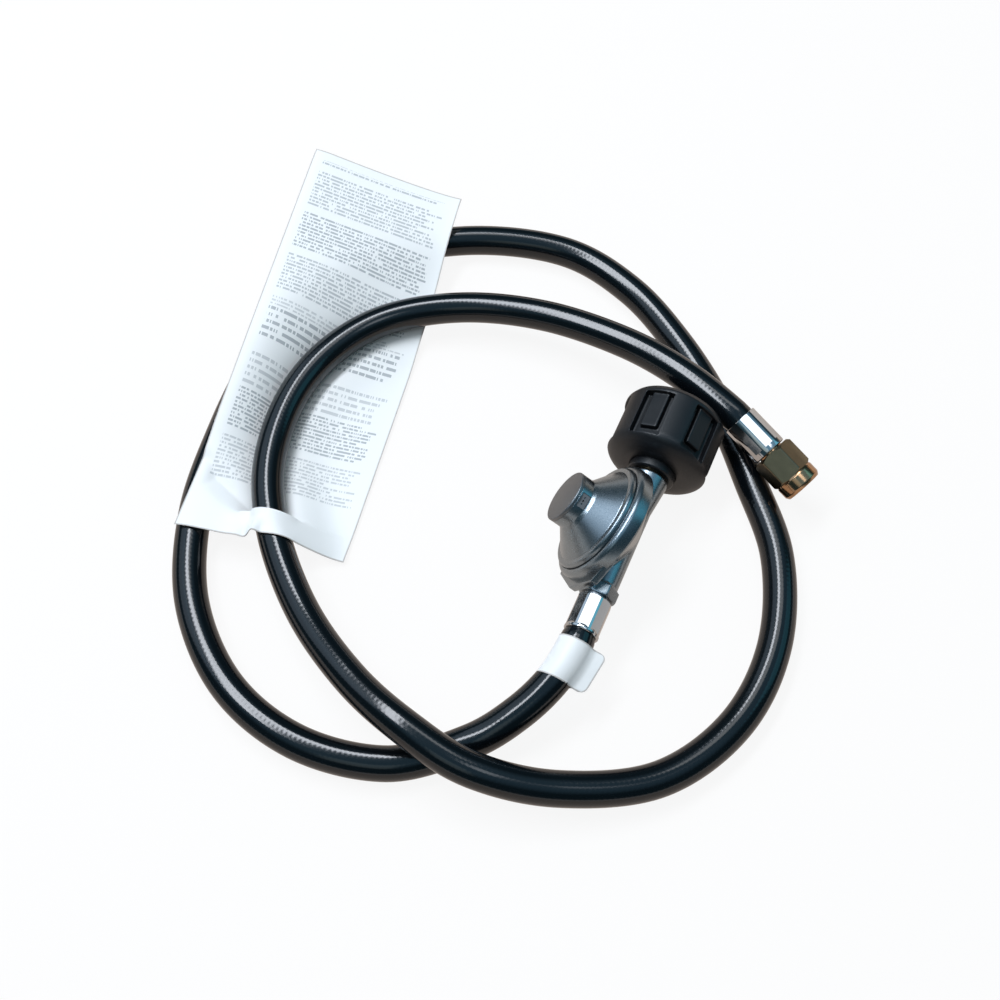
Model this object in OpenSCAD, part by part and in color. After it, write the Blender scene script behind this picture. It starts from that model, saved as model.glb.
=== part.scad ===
// Low-pressure gas regulator with a hand-wheel inlet nut, a looped hose ending in a flare nut,
// a paper tag threaded on the hose and a wrap-round sticker. Sizes are in millimetres.
// +Y runs along the gas axis towards the inlet, +Z is up and the floor is z = 0.
// Stations along the gas axis are measured from the bonnet axis, positive towards the inlet.
// Stations of the bonnet are measured along its own tilted axis from the gas axis.

/* [Body] */
// Tilt of the bonnet axis from upright towards minus X
bonnet_tilt = 60; // [0:1:80]
// Wall of the clamping flange round the bonnet
flange_wall = 1.6; // [1:0.1:4]
// Underside of the clamping flange
flange_low = 7.4; // [6:0.1:9]
// Rounding of the rolled lip
lip_round = 2; // [1:0.1:2.4]
// Top of the rolled lip
lip_top = 14.6; // [14.2:0.1:15.5]
// Seat that the diaphragm lies on
seat_z = 10.2; // [9.5:0.1:11]
// Radius of the low-pressure chamber
chamber_r = 20.4; // [16:0.1:22]
// Radius of the chamber floor
chamber_floor_r = 8; // [6:0.5:12]
// Height of the chamber floor
chamber_floor_z = -1.3; // [-2.5:0.1:0]
// Height at which the chamber wall starts to close in
chamber_bend_z = 5.6; // [4:0.1:7]
// Wall of the cup under the chamber floor
cup_wall = 2.3; // [1.5:0.1:4]
// Radius of the gas way along the bottom of the chamber
gas_way_r = 6.2; // [6:0.1:6.8]
// Half length of the gas way
gas_way_half = 14.4; // [13.8:0.1:15]
// Wall round the gas way
gas_way_wall = 1.5; // [1:0.1:2.5]
// Radius of the cup just below the flange
cup_top_r = 24.5; // [22:0.1:27]
// Radius of the inlet neck at its end
neck_end_r = 9.2; // [8.5:0.1:11]
// Depth of the nipple socket in the inlet neck
socket_depth = 3.7; // [3:0.1:6]
// Wall between the bonnet pocket and the nipple socket
socket_wall = 0.9; // [0.6:0.1:1.5]
// Distance from the bonnet axis to the outlet face
outlet_face = 32; // [30:0.5:40]
// Distance from the bonnet axis to the start of the outlet hexagon
outlet_hex_start = 26.3; // [26:0.1:30]
// Outlet hexagon across its flats
outlet_hex = 15.5; // [14:0.5:20]
// Radius of the outlet boss behind its hexagon
outlet_boss_r = 7.7; // [7:0.1:9]
// Radius of the outlet bore
outlet_bore_r = 4.6; // [3:0.1:6]
// Half width of the web at the outlet
web_end_half = 9; // [5:0.5:12]
// Distance from the bonnet axis to the outer end of the web
web_end = 31; // [29:0.5:32]
// Half width of the web at its lower wing corner
web_wing_half = 25; // [18:0.5:28]
// Half width of the web at its upper wing corner
web_upper_half = 18; // [12:0.5:20]
// Distance from the bonnet axis to the wing corners
web_wing = 20.5; // [15:0.5:25]
// Underside of the web
web_low = 6.2; // [5:0.1:7]
// Thickness of the web
web_thick = 3.5; // [2:0.5:6]

/* [Bonnet] */
// Radius of the bonnet flange
bonnet_flange_r = 26.8; // [25:0.1:27]
// Top of the bonnet flange
bonnet_flange_top = 13.6; // [13:0.1:14]
// Step from the bonnet flange in to the shoulder ring
shoulder_step = 1.2; // [0.8:0.1:3]
// Top of the straight side of the shoulder ring
shoulder_top = 15.2; // [14.8:0.1:16]
// Radius at the foot of the cone
cone_foot_r = 22.8; // [20:0.1:24]
// Height of the foot of the cone
cone_foot_z = 17.2; // [16.8:0.1:18]
// Radius at the head of the cone
cone_head_r = 13.4; // [13:0.1:18]
// Height of the head of the cone
cone_head_z = 25; // [22:0.1:25.5]
// Radius of the hub and of its cap
hub_r = 12.2; // [11.5:0.1:13]
// Height where the straight hub starts
hub_low = 26.4; // [26:0.1:26.6]
// Top of the hub
hub_top = 31.6; // [31.2:0.1:34]
// Top of the cap
cap_top = 33.2; // [32.6:0.1:36]
// Bevel of the cap
cap_bevel = 0.5; // [0.2:0.1:1]
// Length of the plug under the cap
cap_plug = 1.2; // [0.8:0.1:1.3]
// Radius of the bore in the hub
hub_bore_r = 9.8; // [8:0.1:10.5]
// Height where the hub bore starts
hub_bore_low = 24.4; // [22:0.1:25]
// Inner radius at the foot of the bonnet
bonnet_inner_r = 20.5; // [18:0.1:21]
// Height where the inner cone starts
bonnet_inner_z = 15; // [14:0.1:16]
// Direction of the vent on the hub, turned from the upper side
vent_angle = -15; // [-90:1:90]
// Width of the vent recess
vent_width = 6.5; // [4:0.1:8]
// Height of the vent recess
vent_height = 4.2; // [3:0.1:4.6]
// Depth of the vent recess
vent_depth = 1.2; // [0.8:0.1:1.5]
// Lower edge of the vent recess
vent_low = 26.7; // [26.6:0.1:27]
// Radius of the hole behind the screen
vent_hole_r = 0.9; // [0.5:0.1:1.5]
// Thickness of the vent screen
screen_thick = 0.5; // [0.3:0.1:0.8]
// Radius of the holes in the vent screen
screen_hole_r = 0.45; // [0.3:0.05:0.6]
// Spacing of the holes in the vent screen
screen_pitch = 1.5; // [1.2:0.1:2]

/* [Spring and diaphragm] */
// Lower face of the spring adjuster
adjuster_low = 27.4; // [26:0.1:28]
// Upper face of the spring adjuster
adjuster_top = 30.2; // [29.4:0.1:30.3]
// Key socket of the adjuster across its flats
adjuster_key = 8; // [5:0.5:10]
// Depth of the key socket
adjuster_key_depth = 1.8; // [1:0.1:2.4]
// Mean radius of the main spring
spring_r = 7.4; // [6:0.1:8.5]
// Wire diameter of the main spring
spring_wire = 1.4; // [1:0.1:2]
// Turns of the main spring
spring_turns = 6; // [4:1:8]
// Thickness of the diaphragm
diaphragm_thick = 0.8; // [0.5:0.1:1.2]
// Inner radius of the diaphragm fold
fold_in_r = 15.5; // [14.5:0.1:17]
// Outer radius of the diaphragm fold
fold_out_r = 19.5; // [18:0.1:20]
// Rise of the diaphragm fold
fold_rise = 1.4; // [0.5:0.1:2]
// Radius of the plate under the spring
plate_r = 14; // [10:0.5:14.5]
// Thickness of the plate under the spring
plate_thick = 0.95; // [0.6:0.05:1.5]
// Radius of the stem
stem_r = 2.6; // [2.3:0.1:2.7]
// Lower end of the stem
stem_low = -5.4; // [-5.5:0.1:-5.2]
// Radius of the stem shoulder under the diaphragm
stem_shoulder_r = 5; // [4:0.1:8]
// Thickness of the stem shoulder
stem_shoulder = 1.1; // [0.6:0.1:2]
// Radius of the stem neck through the diaphragm and plate
stem_neck_r = 2; // [1.5:0.1:2.5]
// Radius of the stem head
stem_head_r = 3.6; // [3:0.1:5]
// Thickness of the stem head
stem_head = 1.3; // [0.8:0.1:2]
// Travel of the diaphragm from open to shut
diaphragm_travel = 1.6; // [0.8:0.1:1.8]

/* [Lever] */
// Distance of the lever pin from the bonnet axis towards the inlet
pin_y = 10.5; // [8:0.5:12]
// Height of the lever pin
pin_z = -3.2; // [-3.3:0.1:-3]
// Radius of the lever pin
pin_r = 0.75; // [0.6:0.05:0.9]
// Radius of the lever boss
lever_boss_r = 1.5; // [1.3:0.1:1.5]
// Width of the lever boss
lever_boss_width = 4; // [3.6:0.1:4.4]
// Width of the long arm
lever_arm_width = 2.4; // [1.6:0.1:3]
// Thickness of the long arm
lever_arm_thick = 0.9; // [0.6:0.1:1.2]
// Radius of the nose at the end of the long arm
lever_nose_r = 0.8; // [0.6:0.05:1]
// Width of the short arm
lever_pad_width = 4; // [3:0.1:4.2]
// Height of the short arm past the gas axis
lever_pad_over = 2.8; // [2:0.1:3]
// Thickness of the short arm
lever_pad_thick = 1.65; // [1:0.05:2]
// Radius of the seat disc
seat_disc_r = 2.3; // [2:0.1:2.3]
// Thickness of the seat disc
seat_disc_thick = 1.2; // [0.8:0.1:1.6]
// Gap left between the shut seat disc and the orifice tip
seat_shut_gap = 0.05; // [0.02:0.01:0.1]
// Thickness of each lug that holds the lever pin
lug_thick = 1.5; // [1.2:0.1:2]
// Gap between the lever boss and each lug
lug_gap = 0.2; // [0.1:0.05:0.5]
// Depth of each lug along the gas axis
lug_depth = 4.8; // [4:0.1:6]
// Height of each lug above the pin
lug_over = 1.6; // [1.2:0.1:2]
// Radius of the orifice flange
orifice_flange_r = 6; // [5:0.1:7]
// Thickness of the orifice flange
orifice_flange = 1; // [0.8:0.1:1.2]
// Radius of the orifice shank
orifice_r = 3.6; // [2.8:0.1:3.8]
// Station where the orifice nose starts
orifice_nose = 16; // [15:0.1:18]
// Station of the orifice tip
orifice_tip = 13; // [12.8:0.1:14]
// Radius of the orifice tip
orifice_tip_r = 1.9; // [1.6:0.1:2]
// Radius of the orifice bore
orifice_bore_r = 1.2; // [0.6:0.1:1.5]

/* [Inlet nipple] */
// Radius of the nipple stem
nipple_r = 7.5; // [6:0.1:8]
// Radius of the nipple flange
nipple_flange_r = 13.5; // [12:0.1:14.5]
// Thickness of the nipple flange
nipple_flange = 3.7; // [2:0.1:5]
// Radius of the nipple nose
nose_r = 9.5; // [8:0.1:10]
// Distance from the wheel mouth back to the nose tip
nose_back = 6; // [4:0.5:9]
// Rounding of the nose tip
nose_round = 2.4; // [1:0.1:4]
// Radius of the check-valve chamber in the nose
nose_bore_r = 4.2; // [3.5:0.1:5]
// Depth of the check-valve chamber
nose_bore_depth = 14.5; // [13:0.5:15.5]
// Radius of the gas bore through the stem
nipple_bore_r = 2.6; // [2:0.1:4]
// Distance from the nose tip back to the seal groove
seal_back = 6.5; // [4:0.5:9]
// Width of the seal groove
seal_groove = 2.4; // [2:0.1:3]
// Section radius of the seal
seal_section_r = 1.08; // [0.8:0.02:1.2]
// Radius of the floor of the seal groove
seal_floor_r = 7.9; // [6:0.1:8.5]
// Radius of the poppet disc
poppet_r = 3.6; // [3:0.1:4]
// Distance from the nose tip back to the rear face of the poppet disc
poppet_back = 9.5; // [8:0.1:10.5]
// Thickness of the poppet disc
poppet_thick = 1.5; // [1:0.1:2]
// Radius of the poppet stem
poppet_stem_r = 1.5; // [1:0.1:2]
// Distance from the nose tip back to the poppet tip
poppet_tip_back = 0.2; // [-0.5:0.1:0.7]
// Travel of the poppet when the valve pin pushes it in
poppet_travel = 3; // [1:0.1:3]
// Mean radius of the poppet spring
poppet_spring_r = 2.9; // [2.5:0.1:3.2]
// Wire diameter of the poppet spring
poppet_spring_wire = 0.5; // [0.4:0.05:0.6]
// Turns of the poppet spring
poppet_spring_turns = 3; // [2:1:4]
// Distance from the nose tip back to the rear face of the poppet retainer
retainer_back = 3.5; // [3:0.1:4.5]
// Thickness of the poppet retainer
retainer_thick = 2.5; // [1:0.1:2.5]
// Radius of the flow holes in the retainer
retainer_hole_r = 0.9; // [0.6:0.1:1]
// Distance of the flow holes from the axis
retainer_hole_at = 2.9; // [2.7:0.1:3]

/* [Hand wheel] */
// Diameter of the hand wheel
wheel_od = 48; // [42:0.5:60]
// Length of the bushing that shows behind the hand wheel
bushing_shown = 3.6; // [0.7:0.1:5]
// Length of the hand wheel
wheel_length = 31.5; // [28:0.5:40]
// Radius of the rear face
wheel_rear_r = 13; // [12:0.5:18]
// Length of the domed shoulder
wheel_dome = 6.5; // [4:0.5:14]
// Length of the chamfer at the mouth
wheel_chamfer = 2.5; // [1:0.1:4]
// Depth of the chamfer at the mouth
wheel_chamfer_in = 1.4; // [0.5:0.1:2]
// Thickness of the rear wall
wheel_wall = 6; // [4:0.5:10]
// Radius of the threaded bore at the mouth
wheel_bore_r = 16.7; // [14:0.1:18]
// Length of the threaded bore at the mouth
wheel_thread = 6; // [4:0.5:8]
// Radius of the relief behind the threaded bore
wheel_relief_r = 17.1; // [16:0.1:18.5]
// Number of grip ribs
rib_count = 6; // [4:1:10]
// Width of each grip pocket
grip_width = 14.2; // [8:0.1:15]
// Distance from the axis to the floor of each pocket
grip_floor = 21.4; // [20:0.1:23]
// Distance from the rear face to the start of the pockets
grip_start = 4.8; // [3:0.1:12]
// Rim left between the pockets and the mouth
grip_rim = 3.9; // [2:0.1:6]
// Lean of the uppermost rib towards plus X
rib_lean = 8; // [-30:1:30]
// Radius of the bushing sleeve
bushing_r = 11; // [9:0.1:12]
// Gap between the inlet neck and the bushing
bushing_gap = 0.9; // [0.3:0.1:2]
// Radius of the bushing flange
bushing_flange_r = 14; // [12:0.1:16]
// Thickness of the bushing flange
bushing_flange = 3; // [1:0.1:4]

/* [Outlet and hose] */
// Length of the barb shank inside the body
barb_shank = 8; // [4:0.5:10]
// Radius of the barb collar
barb_collar_r = 6.2; // [5:0.1:7]
// Thickness of the barb collar
barb_collar = 1.2; // [0.8:0.1:2]
// Greatest radius of the barbs
barb_r = 3.95; // [3.5:0.05:4]
// Least radius between the barbs
barb_root_r = 3.4; // [3.1:0.05:3.7]
// Number of barbs
barb_count = 4; // [2:1:6]
// Radius of the gas bore in both hose tails
tail_bore_r = 2.8; // [2:0.1:3]
// Length of the regulator-end ferrule
ferrule_length = 16.8; // [12:0.1:24]
// Radius of the regulator-end ferrule
ferrule_r = 7.7; // [7:0.05:9]
// Distance from the axis to the crimped flats
ferrule_flat = 7.35; // [7:0.05:8]
// Inner radius of the regulator-end ferrule
ferrule_inner_r = 6.75; // [6:0.05:7.2]
// End wall of both ferrules
ferrule_wall = 1; // [0.6:0.1:2]
// Radius of the hole in both end walls
ferrule_hole_r = 4.1; // [4:0.05:4.5]
// Radius of the lip at the hose end of the ferrule
ferrule_lip_r = 8; // [7.7:0.1:9]
// Width of the lip
ferrule_lip = 1.2; // [0.6:0.1:2]
// Outer diameter of the hose
hose_od = 15; // [10:0.5:20]
// Diameter of the hose bore
hose_bore = 8; // [6:0.1:9]
// Radius of the hose squeezed by the regulator-end ferrule
hose_grip_r = 6.65; // [6:0.05:7]
// Radius of the hose squeezed by the flare-end ferrule
hose_far_grip_r = 7.2; // [6.5:0.05:7.4]
// Gap between crossing turns of the hose
cross_gap = 0.8; // [0.5:0.1:3]
// Gap between the hose end and the end wall of a ferrule
hose_end_gap = 0.2; // [0.1:0.1:1]

/* [Flare end] */
// Turn of the flare end about upright, from plus X
flare_yaw = -22; // [-60:1:60]
// Rise of the flare end, negative points down
flare_pitch = -14; // [-30:1:30]
// Length of the flare-end ferrule
far_ferrule_length = 20; // [14:0.5:30]
// Radius of the flare-end ferrule
far_ferrule_r = 8.2; // [7.8:0.1:9]
// Inner radius of the flare-end ferrule
far_ferrule_inner_r = 7.3; // [7:0.05:7.5]
// Radius of the collar between ferrule and nut
tail_collar_r = 6; // [5:0.1:7]
// Thickness of the collar between ferrule and nut
tail_collar = 1; // [0.5:0.1:2]
// Radius of the tail stem inside the nut
tail_stem_r = 5.5; // [4:0.1:6]
// Radius of the flare head
flare_head_r = 7.2; // [6:0.1:7.4]
// Thickness of the flare head behind its cone
flare_head = 1.7; // [1:0.1:3]
// Radius of the tip of the flare cone
flare_tip_r = 3.4; // [3:0.1:5]
// Flare nut across its flats
nut_hex = 18; // [17:0.5:24]
// Turn of the hexagon about the flare axis
nut_turn = 30; // [0:1:59]
// Radius of the round collar of the flare nut
nut_collar_r = 9.5; // [8:0.1:11]
// Length of the round collar at the mouth of the flare nut
nut_collar = 7.2; // [4:0.1:10]
// Length of the hexagon of the flare nut
nut_hex_length = 13.5; // [8:0.5:20]
// Thickness of the rear wall of the flare nut
nut_wall = 8.7; // [4:0.1:10]
// Radius of the threaded bore of the flare nut
nut_bore_r = 7.6; // [6:0.1:8]
// Length of the threaded bore of the flare nut
nut_thread = 6; // [4:0.5:8]
// Radius of the relief around the flare head
nut_relief_r = 7.9; // [7.5:0.1:8.5]

/* [Tag and sticker] */
// Width of the tag as laid out
tag_width = 76.3; // [40:0.1:100]
// Length of the tag as laid out
tag_length = 208.8; // [100:0.1:260]
// Thickness of the tag
tag_thick = 0.4; // [0.3:0.1:0.8]
// Lean of the long side of the tag from plus Y
tag_lean = 9.4; // [0:0.1:20]
// Turn of the foot of the tag from plus X
tag_foot_turn = 14.4; // [0:0.1:20]
// Turn of the head of the tag from plus X
tag_head_turn = 9.8; // [0:0.1:20]
// Share of the length at which the hose passes through the tag
slit_at = 0.06; // [0.04:0.01:0.15]
// Half width of the slit
slit_half = 13; // [11:0.5:16]
// Gap between the tag and the hose above or below it
tag_gap = 1.3; // [0.5:0.1:3]
// Steps across the tag
tag_across = 16; // [8:1:24]
// Steps along the tag
tag_along = 28; // [12:1:40]
// Slope of the tag where it stands free past the outer turn
tag_rise = 0.5; // [0:0.05:1]
// Length of the sticker in quarters of a route span
sticker_steps = 4; // [2:1:5]
// Gap between the sticker and the hose
sticker_gap = 0.15; // [0.1:0.05:0.5]
// Thickness of the sticker
sticker_thick = 0.3; // [0.2:0.05:0.6]
// Width of the sticker flag
flag_width = 9; // [4:0.5:15]
// Thickness of the sticker flag
flag_thick = 0.5; // [0.4:0.1:1]

/* [Fits] */
// Radial gap of parts that turn or slide in a bore
running_gap = 0.05; // [0.01:0.01:0.1]
// Radial gap of parts that stay put in a bore
fixed_gap = 0.02; // [0.01:0.01:0.05]
// End gap between neighbouring fixed parts
end_gap = 0.1; // [0.05:0.05:0.3]
// Radial gap round the bonnet flange in its pocket
pocket_gap = 0.1; // [0.05:0.05:0.3]
// Radial gap between the rolled lip and the shoulder ring
lip_gap = 0.3; // [0.2:0.05:0.6]
// End gap between a turning part and its neighbour
turn_gap = 0.3; // [0.1:0.05:0.6]

/* [Hidden] */
$fn = 64;
zinc = [0.62, 0.66, 0.70];
brass = [0.72, 0.58, 0.32];
chrome = [0.80, 0.82, 0.84];
steel = [0.70, 0.71, 0.72];
black = [0.06, 0.06, 0.07];
dark = [0.20, 0.21, 0.22];
white = [0.95, 0.96, 0.95];
bore_over = 1;
pocket_r = bonnet_flange_r + pocket_gap;
socket_end = pocket_r + socket_wall;
neck_end = socket_end + socket_depth;
gas_way_out_r = gas_way_r + gas_way_wall;
cup_low = chamber_floor_z - cup_wall;
bushing_rear = neck_end + bushing_gap;
wheel_rear = bushing_rear + bushing_shown;
wheel_front = wheel_rear + wheel_length;
nose_tip = wheel_front - nose_back;
nose_bore_end = nose_tip - nose_bore_depth;
seal_at = nose_tip - seal_back;
poppet_at = nose_tip - poppet_back;
poppet_tip = nose_tip - poppet_tip_back;
retainer_at = nose_tip - retainer_back;
axis_h = wheel_od / 2;
cap_reach = cap_top * sin(bonnet_tilt) + hub_r * cos(bonnet_tilt);
axis_x = (cap_reach - wheel_od / 2) / 2;
disc_y = -(wheel_front - outlet_face) / 2;
diaphragm_top = seat_z + diaphragm_thick;
bonnet_low = diaphragm_top;
flange_r = pocket_r + flange_wall;
shoulder_r = bonnet_flange_r - shoulder_step;
lip_r = shoulder_r + lip_gap;
lip_low = bonnet_flange_top + end_gap;
plate_low = diaphragm_top + end_gap / 2;
plate_top = plate_low + plate_thick;
stem_shoulder_top = seat_z - end_gap / 2;
lever_long = pin_y;
lever_short = -pin_z;
lever_swing = asin(diaphragm_travel / (2 * lever_long));
lever_rest = 2 * lever_swing;
slot_z = pin_z - lever_long * sin(lever_swing);
pad_face = orifice_tip - seat_shut_gap - pin_y;
pad_back = pad_face - seat_disc_thick;
bushing_front = wheel_rear + wheel_wall + bushing_flange;
nipple_flange_at = bushing_front + turn_gap;
barb_end = outlet_face + barb_collar + ferrule_length;
hose_start = outlet_face + barb_collar + ferrule_wall + hose_end_gap;
hose_r = hose_od / 2;
lift = hose_od + cross_gap;
flare_dir = [
    cos(flare_pitch) * cos(flare_yaw),
    cos(flare_pitch) * sin(flare_yaw),
    sin(flare_pitch)
];
flare_start = [33, 57, 28.8];
hose_far_end = far_ferrule_length - ferrule_wall - hose_end_gap;
nut_rear = far_ferrule_length + tail_collar + turn_gap;
nut_seat = nut_rear + nut_wall;
nut_collar_at = nut_rear + nut_hex_length;
nut_front = nut_collar_at + nut_collar;

// Hose route seen from above, with the height as a share of one crossing
laid = [
    [3, -88, 0.92], [-6, -107.5, 0.52], [-21, -126, 0.1], [-48, -147, 0], [-87, -154, 0],
    [-126, -144, 0], [-159, -117, 0], [-180, -79, 0], [-190, -38, 0], [-195, 5, 0],
    [-192, 48, 0], [-170, 89, 0], [-131, 118, 0], [-84, 131, 0], [-44, 122, 0],
    [-9, 100, 0], [22, 72, 0], [47.3, 41.3, 0], [71, 9, 0], [83, -32, 0],
    [79, -72, 0], [58, -107, 0.08], [22, -129, 0.42], [-13, -138, 0.9], [-44, -134, 1.05],
    [-76, -123, 0.78], [-110, -103, 0.47], [-140, -75, 0.38], [-159, -45, 0.38], [-167, -10, 0.38],
    [-163, 22, 0.38], [-146, 51, 0.4], [-114, 72, 0.5], [-74, 81, 0.76], [-32, 79, 1.06],
    [2, 70, 1.3]
];
route = concat(
    [[axis_x, disc_y - hose_start, axis_h], [axis_x, disc_y - barb_end, axis_h]],
    [for (p = laid) [p[0], p[1], hose_r + p[2] * lift]],
    [flare_start, flare_start + flare_dir * hose_far_end]
);
last = len(route) - 1;

function on_floor(p) = [p[0], p[1], max(p[2], hose_r)];
function blend(a, b, c, d, t) = 0.5 * (
    2 * b + (c - a) * t + (2 * a - 5 * b + 4 * c - d) * t * t + (3 * b - a - 3 * c + d) * t * t * t
);
function along(i, t) = on_floor(blend(route[i - 1], route[i], route[i + 1], route[i + 2], t));
function steps(i) = i < 3 ? 4 : 2;
hose_line = concat(
    [route[0]],
    [for (i = [1 : last - 2]) for (k = [0 : steps(i) - 1]) along(i, k / steps(i))],
    [route[last - 1], route[last]]
);
hose_rings = len(hose_line);
hose_outer = [
    for (i = [0 : hose_rings - 1])
        i < 2 ? hose_grip_r : i > hose_rings - 3 ? hose_far_grip_r : hose_r
];
hose_sides = 12;
hose_bore_r = hose_bore / 2 / cos(180 / hose_sides);

// Least gap of the hose to itself, measured on points along the route
fine_line = [for (i = [1 : last - 2]) for (k = [0 : 3]) along(i, k / 4)];
far_apart = 12;
hose_self_gap = min([
    for (i = [0 : len(fine_line) - far_apart - 1])
        for (j = [i + far_apart : len(fine_line) - 1])
            norm(fine_line[i] - fine_line[j])
]) - hose_od;
echo(hose_self_gap = hose_self_gap);

function unit(v) = v / norm(v);
function heading(c, i) = unit(c[min(i + 1, len(c) - 1)] - c[max(i - 1, 0)]);
function sideways(t) = unit(cross(t, [0, 0, 1]));
function upward(t) = cross(sideways(t), t);
function ring(c, t, r, n) = [
    for (k = [0 : n - 1])
        c + r * (cos(360 * k / n) * upward(t) + sin(360 * k / n) * sideways(t))
];
function skin(m, n, base) = [
    for (i = [0 : m - 2])
        for (k = [0 : n - 1])
            let (
                a = base + i * n + k,
                b = base + (i + 1) * n + k,
                c = base + (i + 1) * n + (k + 1) % n,
                d = base + i * n + (k + 1) % n
            )
                each [[a, b, c], [a, c, d]]
];
function turned(f) = [for (q = f) [for (k = [len(q) - 1 : -1 : 0]) q[k]]];

function placed(c, t, q) = c + q[0] * upward(t) + q[1] * sideways(t);
function end_ring(a, b, n) = [
    for (k = [0 : n - 1])
        each [[a + k, a + (k + 1) % n, b + (k + 1) % n], [a + k, b + (k + 1) % n, b + k]]
];
function sleeve_faces(m, n) = concat(
    skin(m, n, 0),
    turned(skin(m, n, m * n)),
    end_ring(0, m * n, n),
    turned(end_ring((m - 1) * n, (2 * m - 1) * n, n))
);

// Tube with a bore, swept along a line of points
module tube(c, outer, inner, n) {
    m = len(c);
    points = concat(
        [for (i = [0 : m - 1]) each ring(c[i], heading(c, i), outer[i], n)],
        [for (i = [0 : m - 1]) each ring(c[i], heading(c, i), inner[i], n)]
    );
    polyhedron(points, sleeve_faces(m, n), 10);
}

// Solid wire swept along a line of points
module wire(c, r, n) {
    m = len(c);
    points = [for (i = [0 : m - 1]) each ring(c[i], heading(c, i), r, n)];
    caps = [[for (k = [0 : n - 1]) k], [for (k = [n - 1 : -1 : 0]) (m - 1) * n + k]];
    polyhedron(points, concat(skin(m, n, 0), caps), 10);
}

function helix(r, low, high, turns, per_turn) = [
    for (k = [0 : turns * per_turn])
        [
            r * cos(360 * k / per_turn), r * sin(360 * k / per_turn),
            low + (high - low) * k / (turns * per_turn)
        ]
];

// Bonnet frame: origin on the gas axis, +Z along the bonnet axis, +Y along the gas axis
module at_regulator() {
    translate([axis_x, disc_y, axis_h])
        rotate([0, -bonnet_tilt, 0])
            children();
}

// Turns +Z to +Y, so that heights become stations along the gas axis
module to_inlet() {
    rotate([-90, 0, 0])
        children();
}

module on_gas_axis() {
    translate([axis_x, disc_y, axis_h])
        to_inlet()
            children();
}

// Flare frame: origin at the hose end of the far ferrule, +Z along the flare axis
module at_flare() {
    translate(flare_start)
        rotate([0, 90 - flare_pitch, flare_yaw])
            children();
}

module spun(profile) {
    rotate_extrude()
        polygon(profile);
}

function arc(x, y, rx, ry, from, to, n) = [
    for (k = [0 : n]) let (q = from + (to - from) * k / n) [x + rx * cos(q), y + ry * sin(q)]
];

module regulator_body() {
    color(zinc)
        at_regulator() {
            difference() {
                union() {
                    spun(concat(
                        [
                            [0, cup_low], [chamber_floor_r, cup_low],
                            [cup_top_r, chamber_bend_z], [cup_top_r, flange_low],
                            [flange_r - 0.5, flange_low], [flange_r, flange_low + 0.5]
                        ],
                        arc(flange_r - lip_round, lip_top - lip_round, lip_round, lip_round, 0, 90, 6),
                        [[0, lip_top]]
                    ));
                    to_inlet() {
                        translate([0, 0, -gas_way_half])
                            cylinder(r = gas_way_out_r, h = 2 * gas_way_half);
                        translate([0, 0, gas_way_half])
                            cylinder(r1 = gas_way_out_r, r2 = neck_end_r, h = neck_end - gas_way_half);
                    }
                    rotate([90, 0, 0]) {
                        translate([0, 0, gas_way_half])
                            cylinder(r = outlet_boss_r, h = outlet_hex_start + 1 - gas_way_half);
                        translate([0, 0, outlet_hex_start])
                            rotate([0, 0, 30])
                                cylinder(r = outlet_hex / 2 / cos(30), h = outlet_face - outlet_hex_start, $fn = 6);
                    }
                    translate([0, 0, web_low])
                        linear_extrude(web_thick)
                            polygon([
                                [-web_end_half, -web_end], [web_end_half, -web_end],
                                [web_upper_half, -web_wing], [cup_top_r, 0],
                                [-cup_top_r, 0], [-web_wing_half, -web_wing]
                            ]);
                }
                spun([
                    [0, chamber_floor_z], [chamber_floor_r, chamber_floor_z], [chamber_r, chamber_bend_z],
                    [chamber_r, seat_z], [pocket_r, seat_z], [pocket_r, lip_low],
                    [lip_r, lip_low], [lip_r, lip_top + 8], [0, lip_top + 8]
                ]);
                to_inlet() {
                    translate([0, 0, -gas_way_half])
                        cylinder(r = gas_way_r, h = 2 * gas_way_half);
                    translate([0, 0, socket_end])
                        cylinder(r = nipple_r + fixed_gap, h = neck_end - socket_end + bore_over);
                    translate([0, 0, gas_way_half - bore_over])
                        cylinder(r = orifice_r, h = socket_end - gas_way_half + 2 * bore_over);
                }
                rotate([90, 0, 0])
                    translate([0, 0, gas_way_half - bore_over])
                        cylinder(r = outlet_bore_r, h = outlet_face - gas_way_half + 2 * bore_over);
            }
            for (side = [-1, 1])
                difference() {
                    translate([
                        side * (lever_boss_width / 2 + lug_gap + lug_thick / 2) - lug_thick / 2,
                        pin_y - lug_depth / 2,
                        -gas_way_r
                    ])
                        cube([lug_thick, lug_depth, pin_z + lug_over + gas_way_r]);
                    translate([0, pin_y, pin_z])
                        rotate([0, 90, 0])
                            cylinder(r = pin_r + fixed_gap, h = 4 * lever_boss_width, center = true);
                }
        }
}

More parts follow.
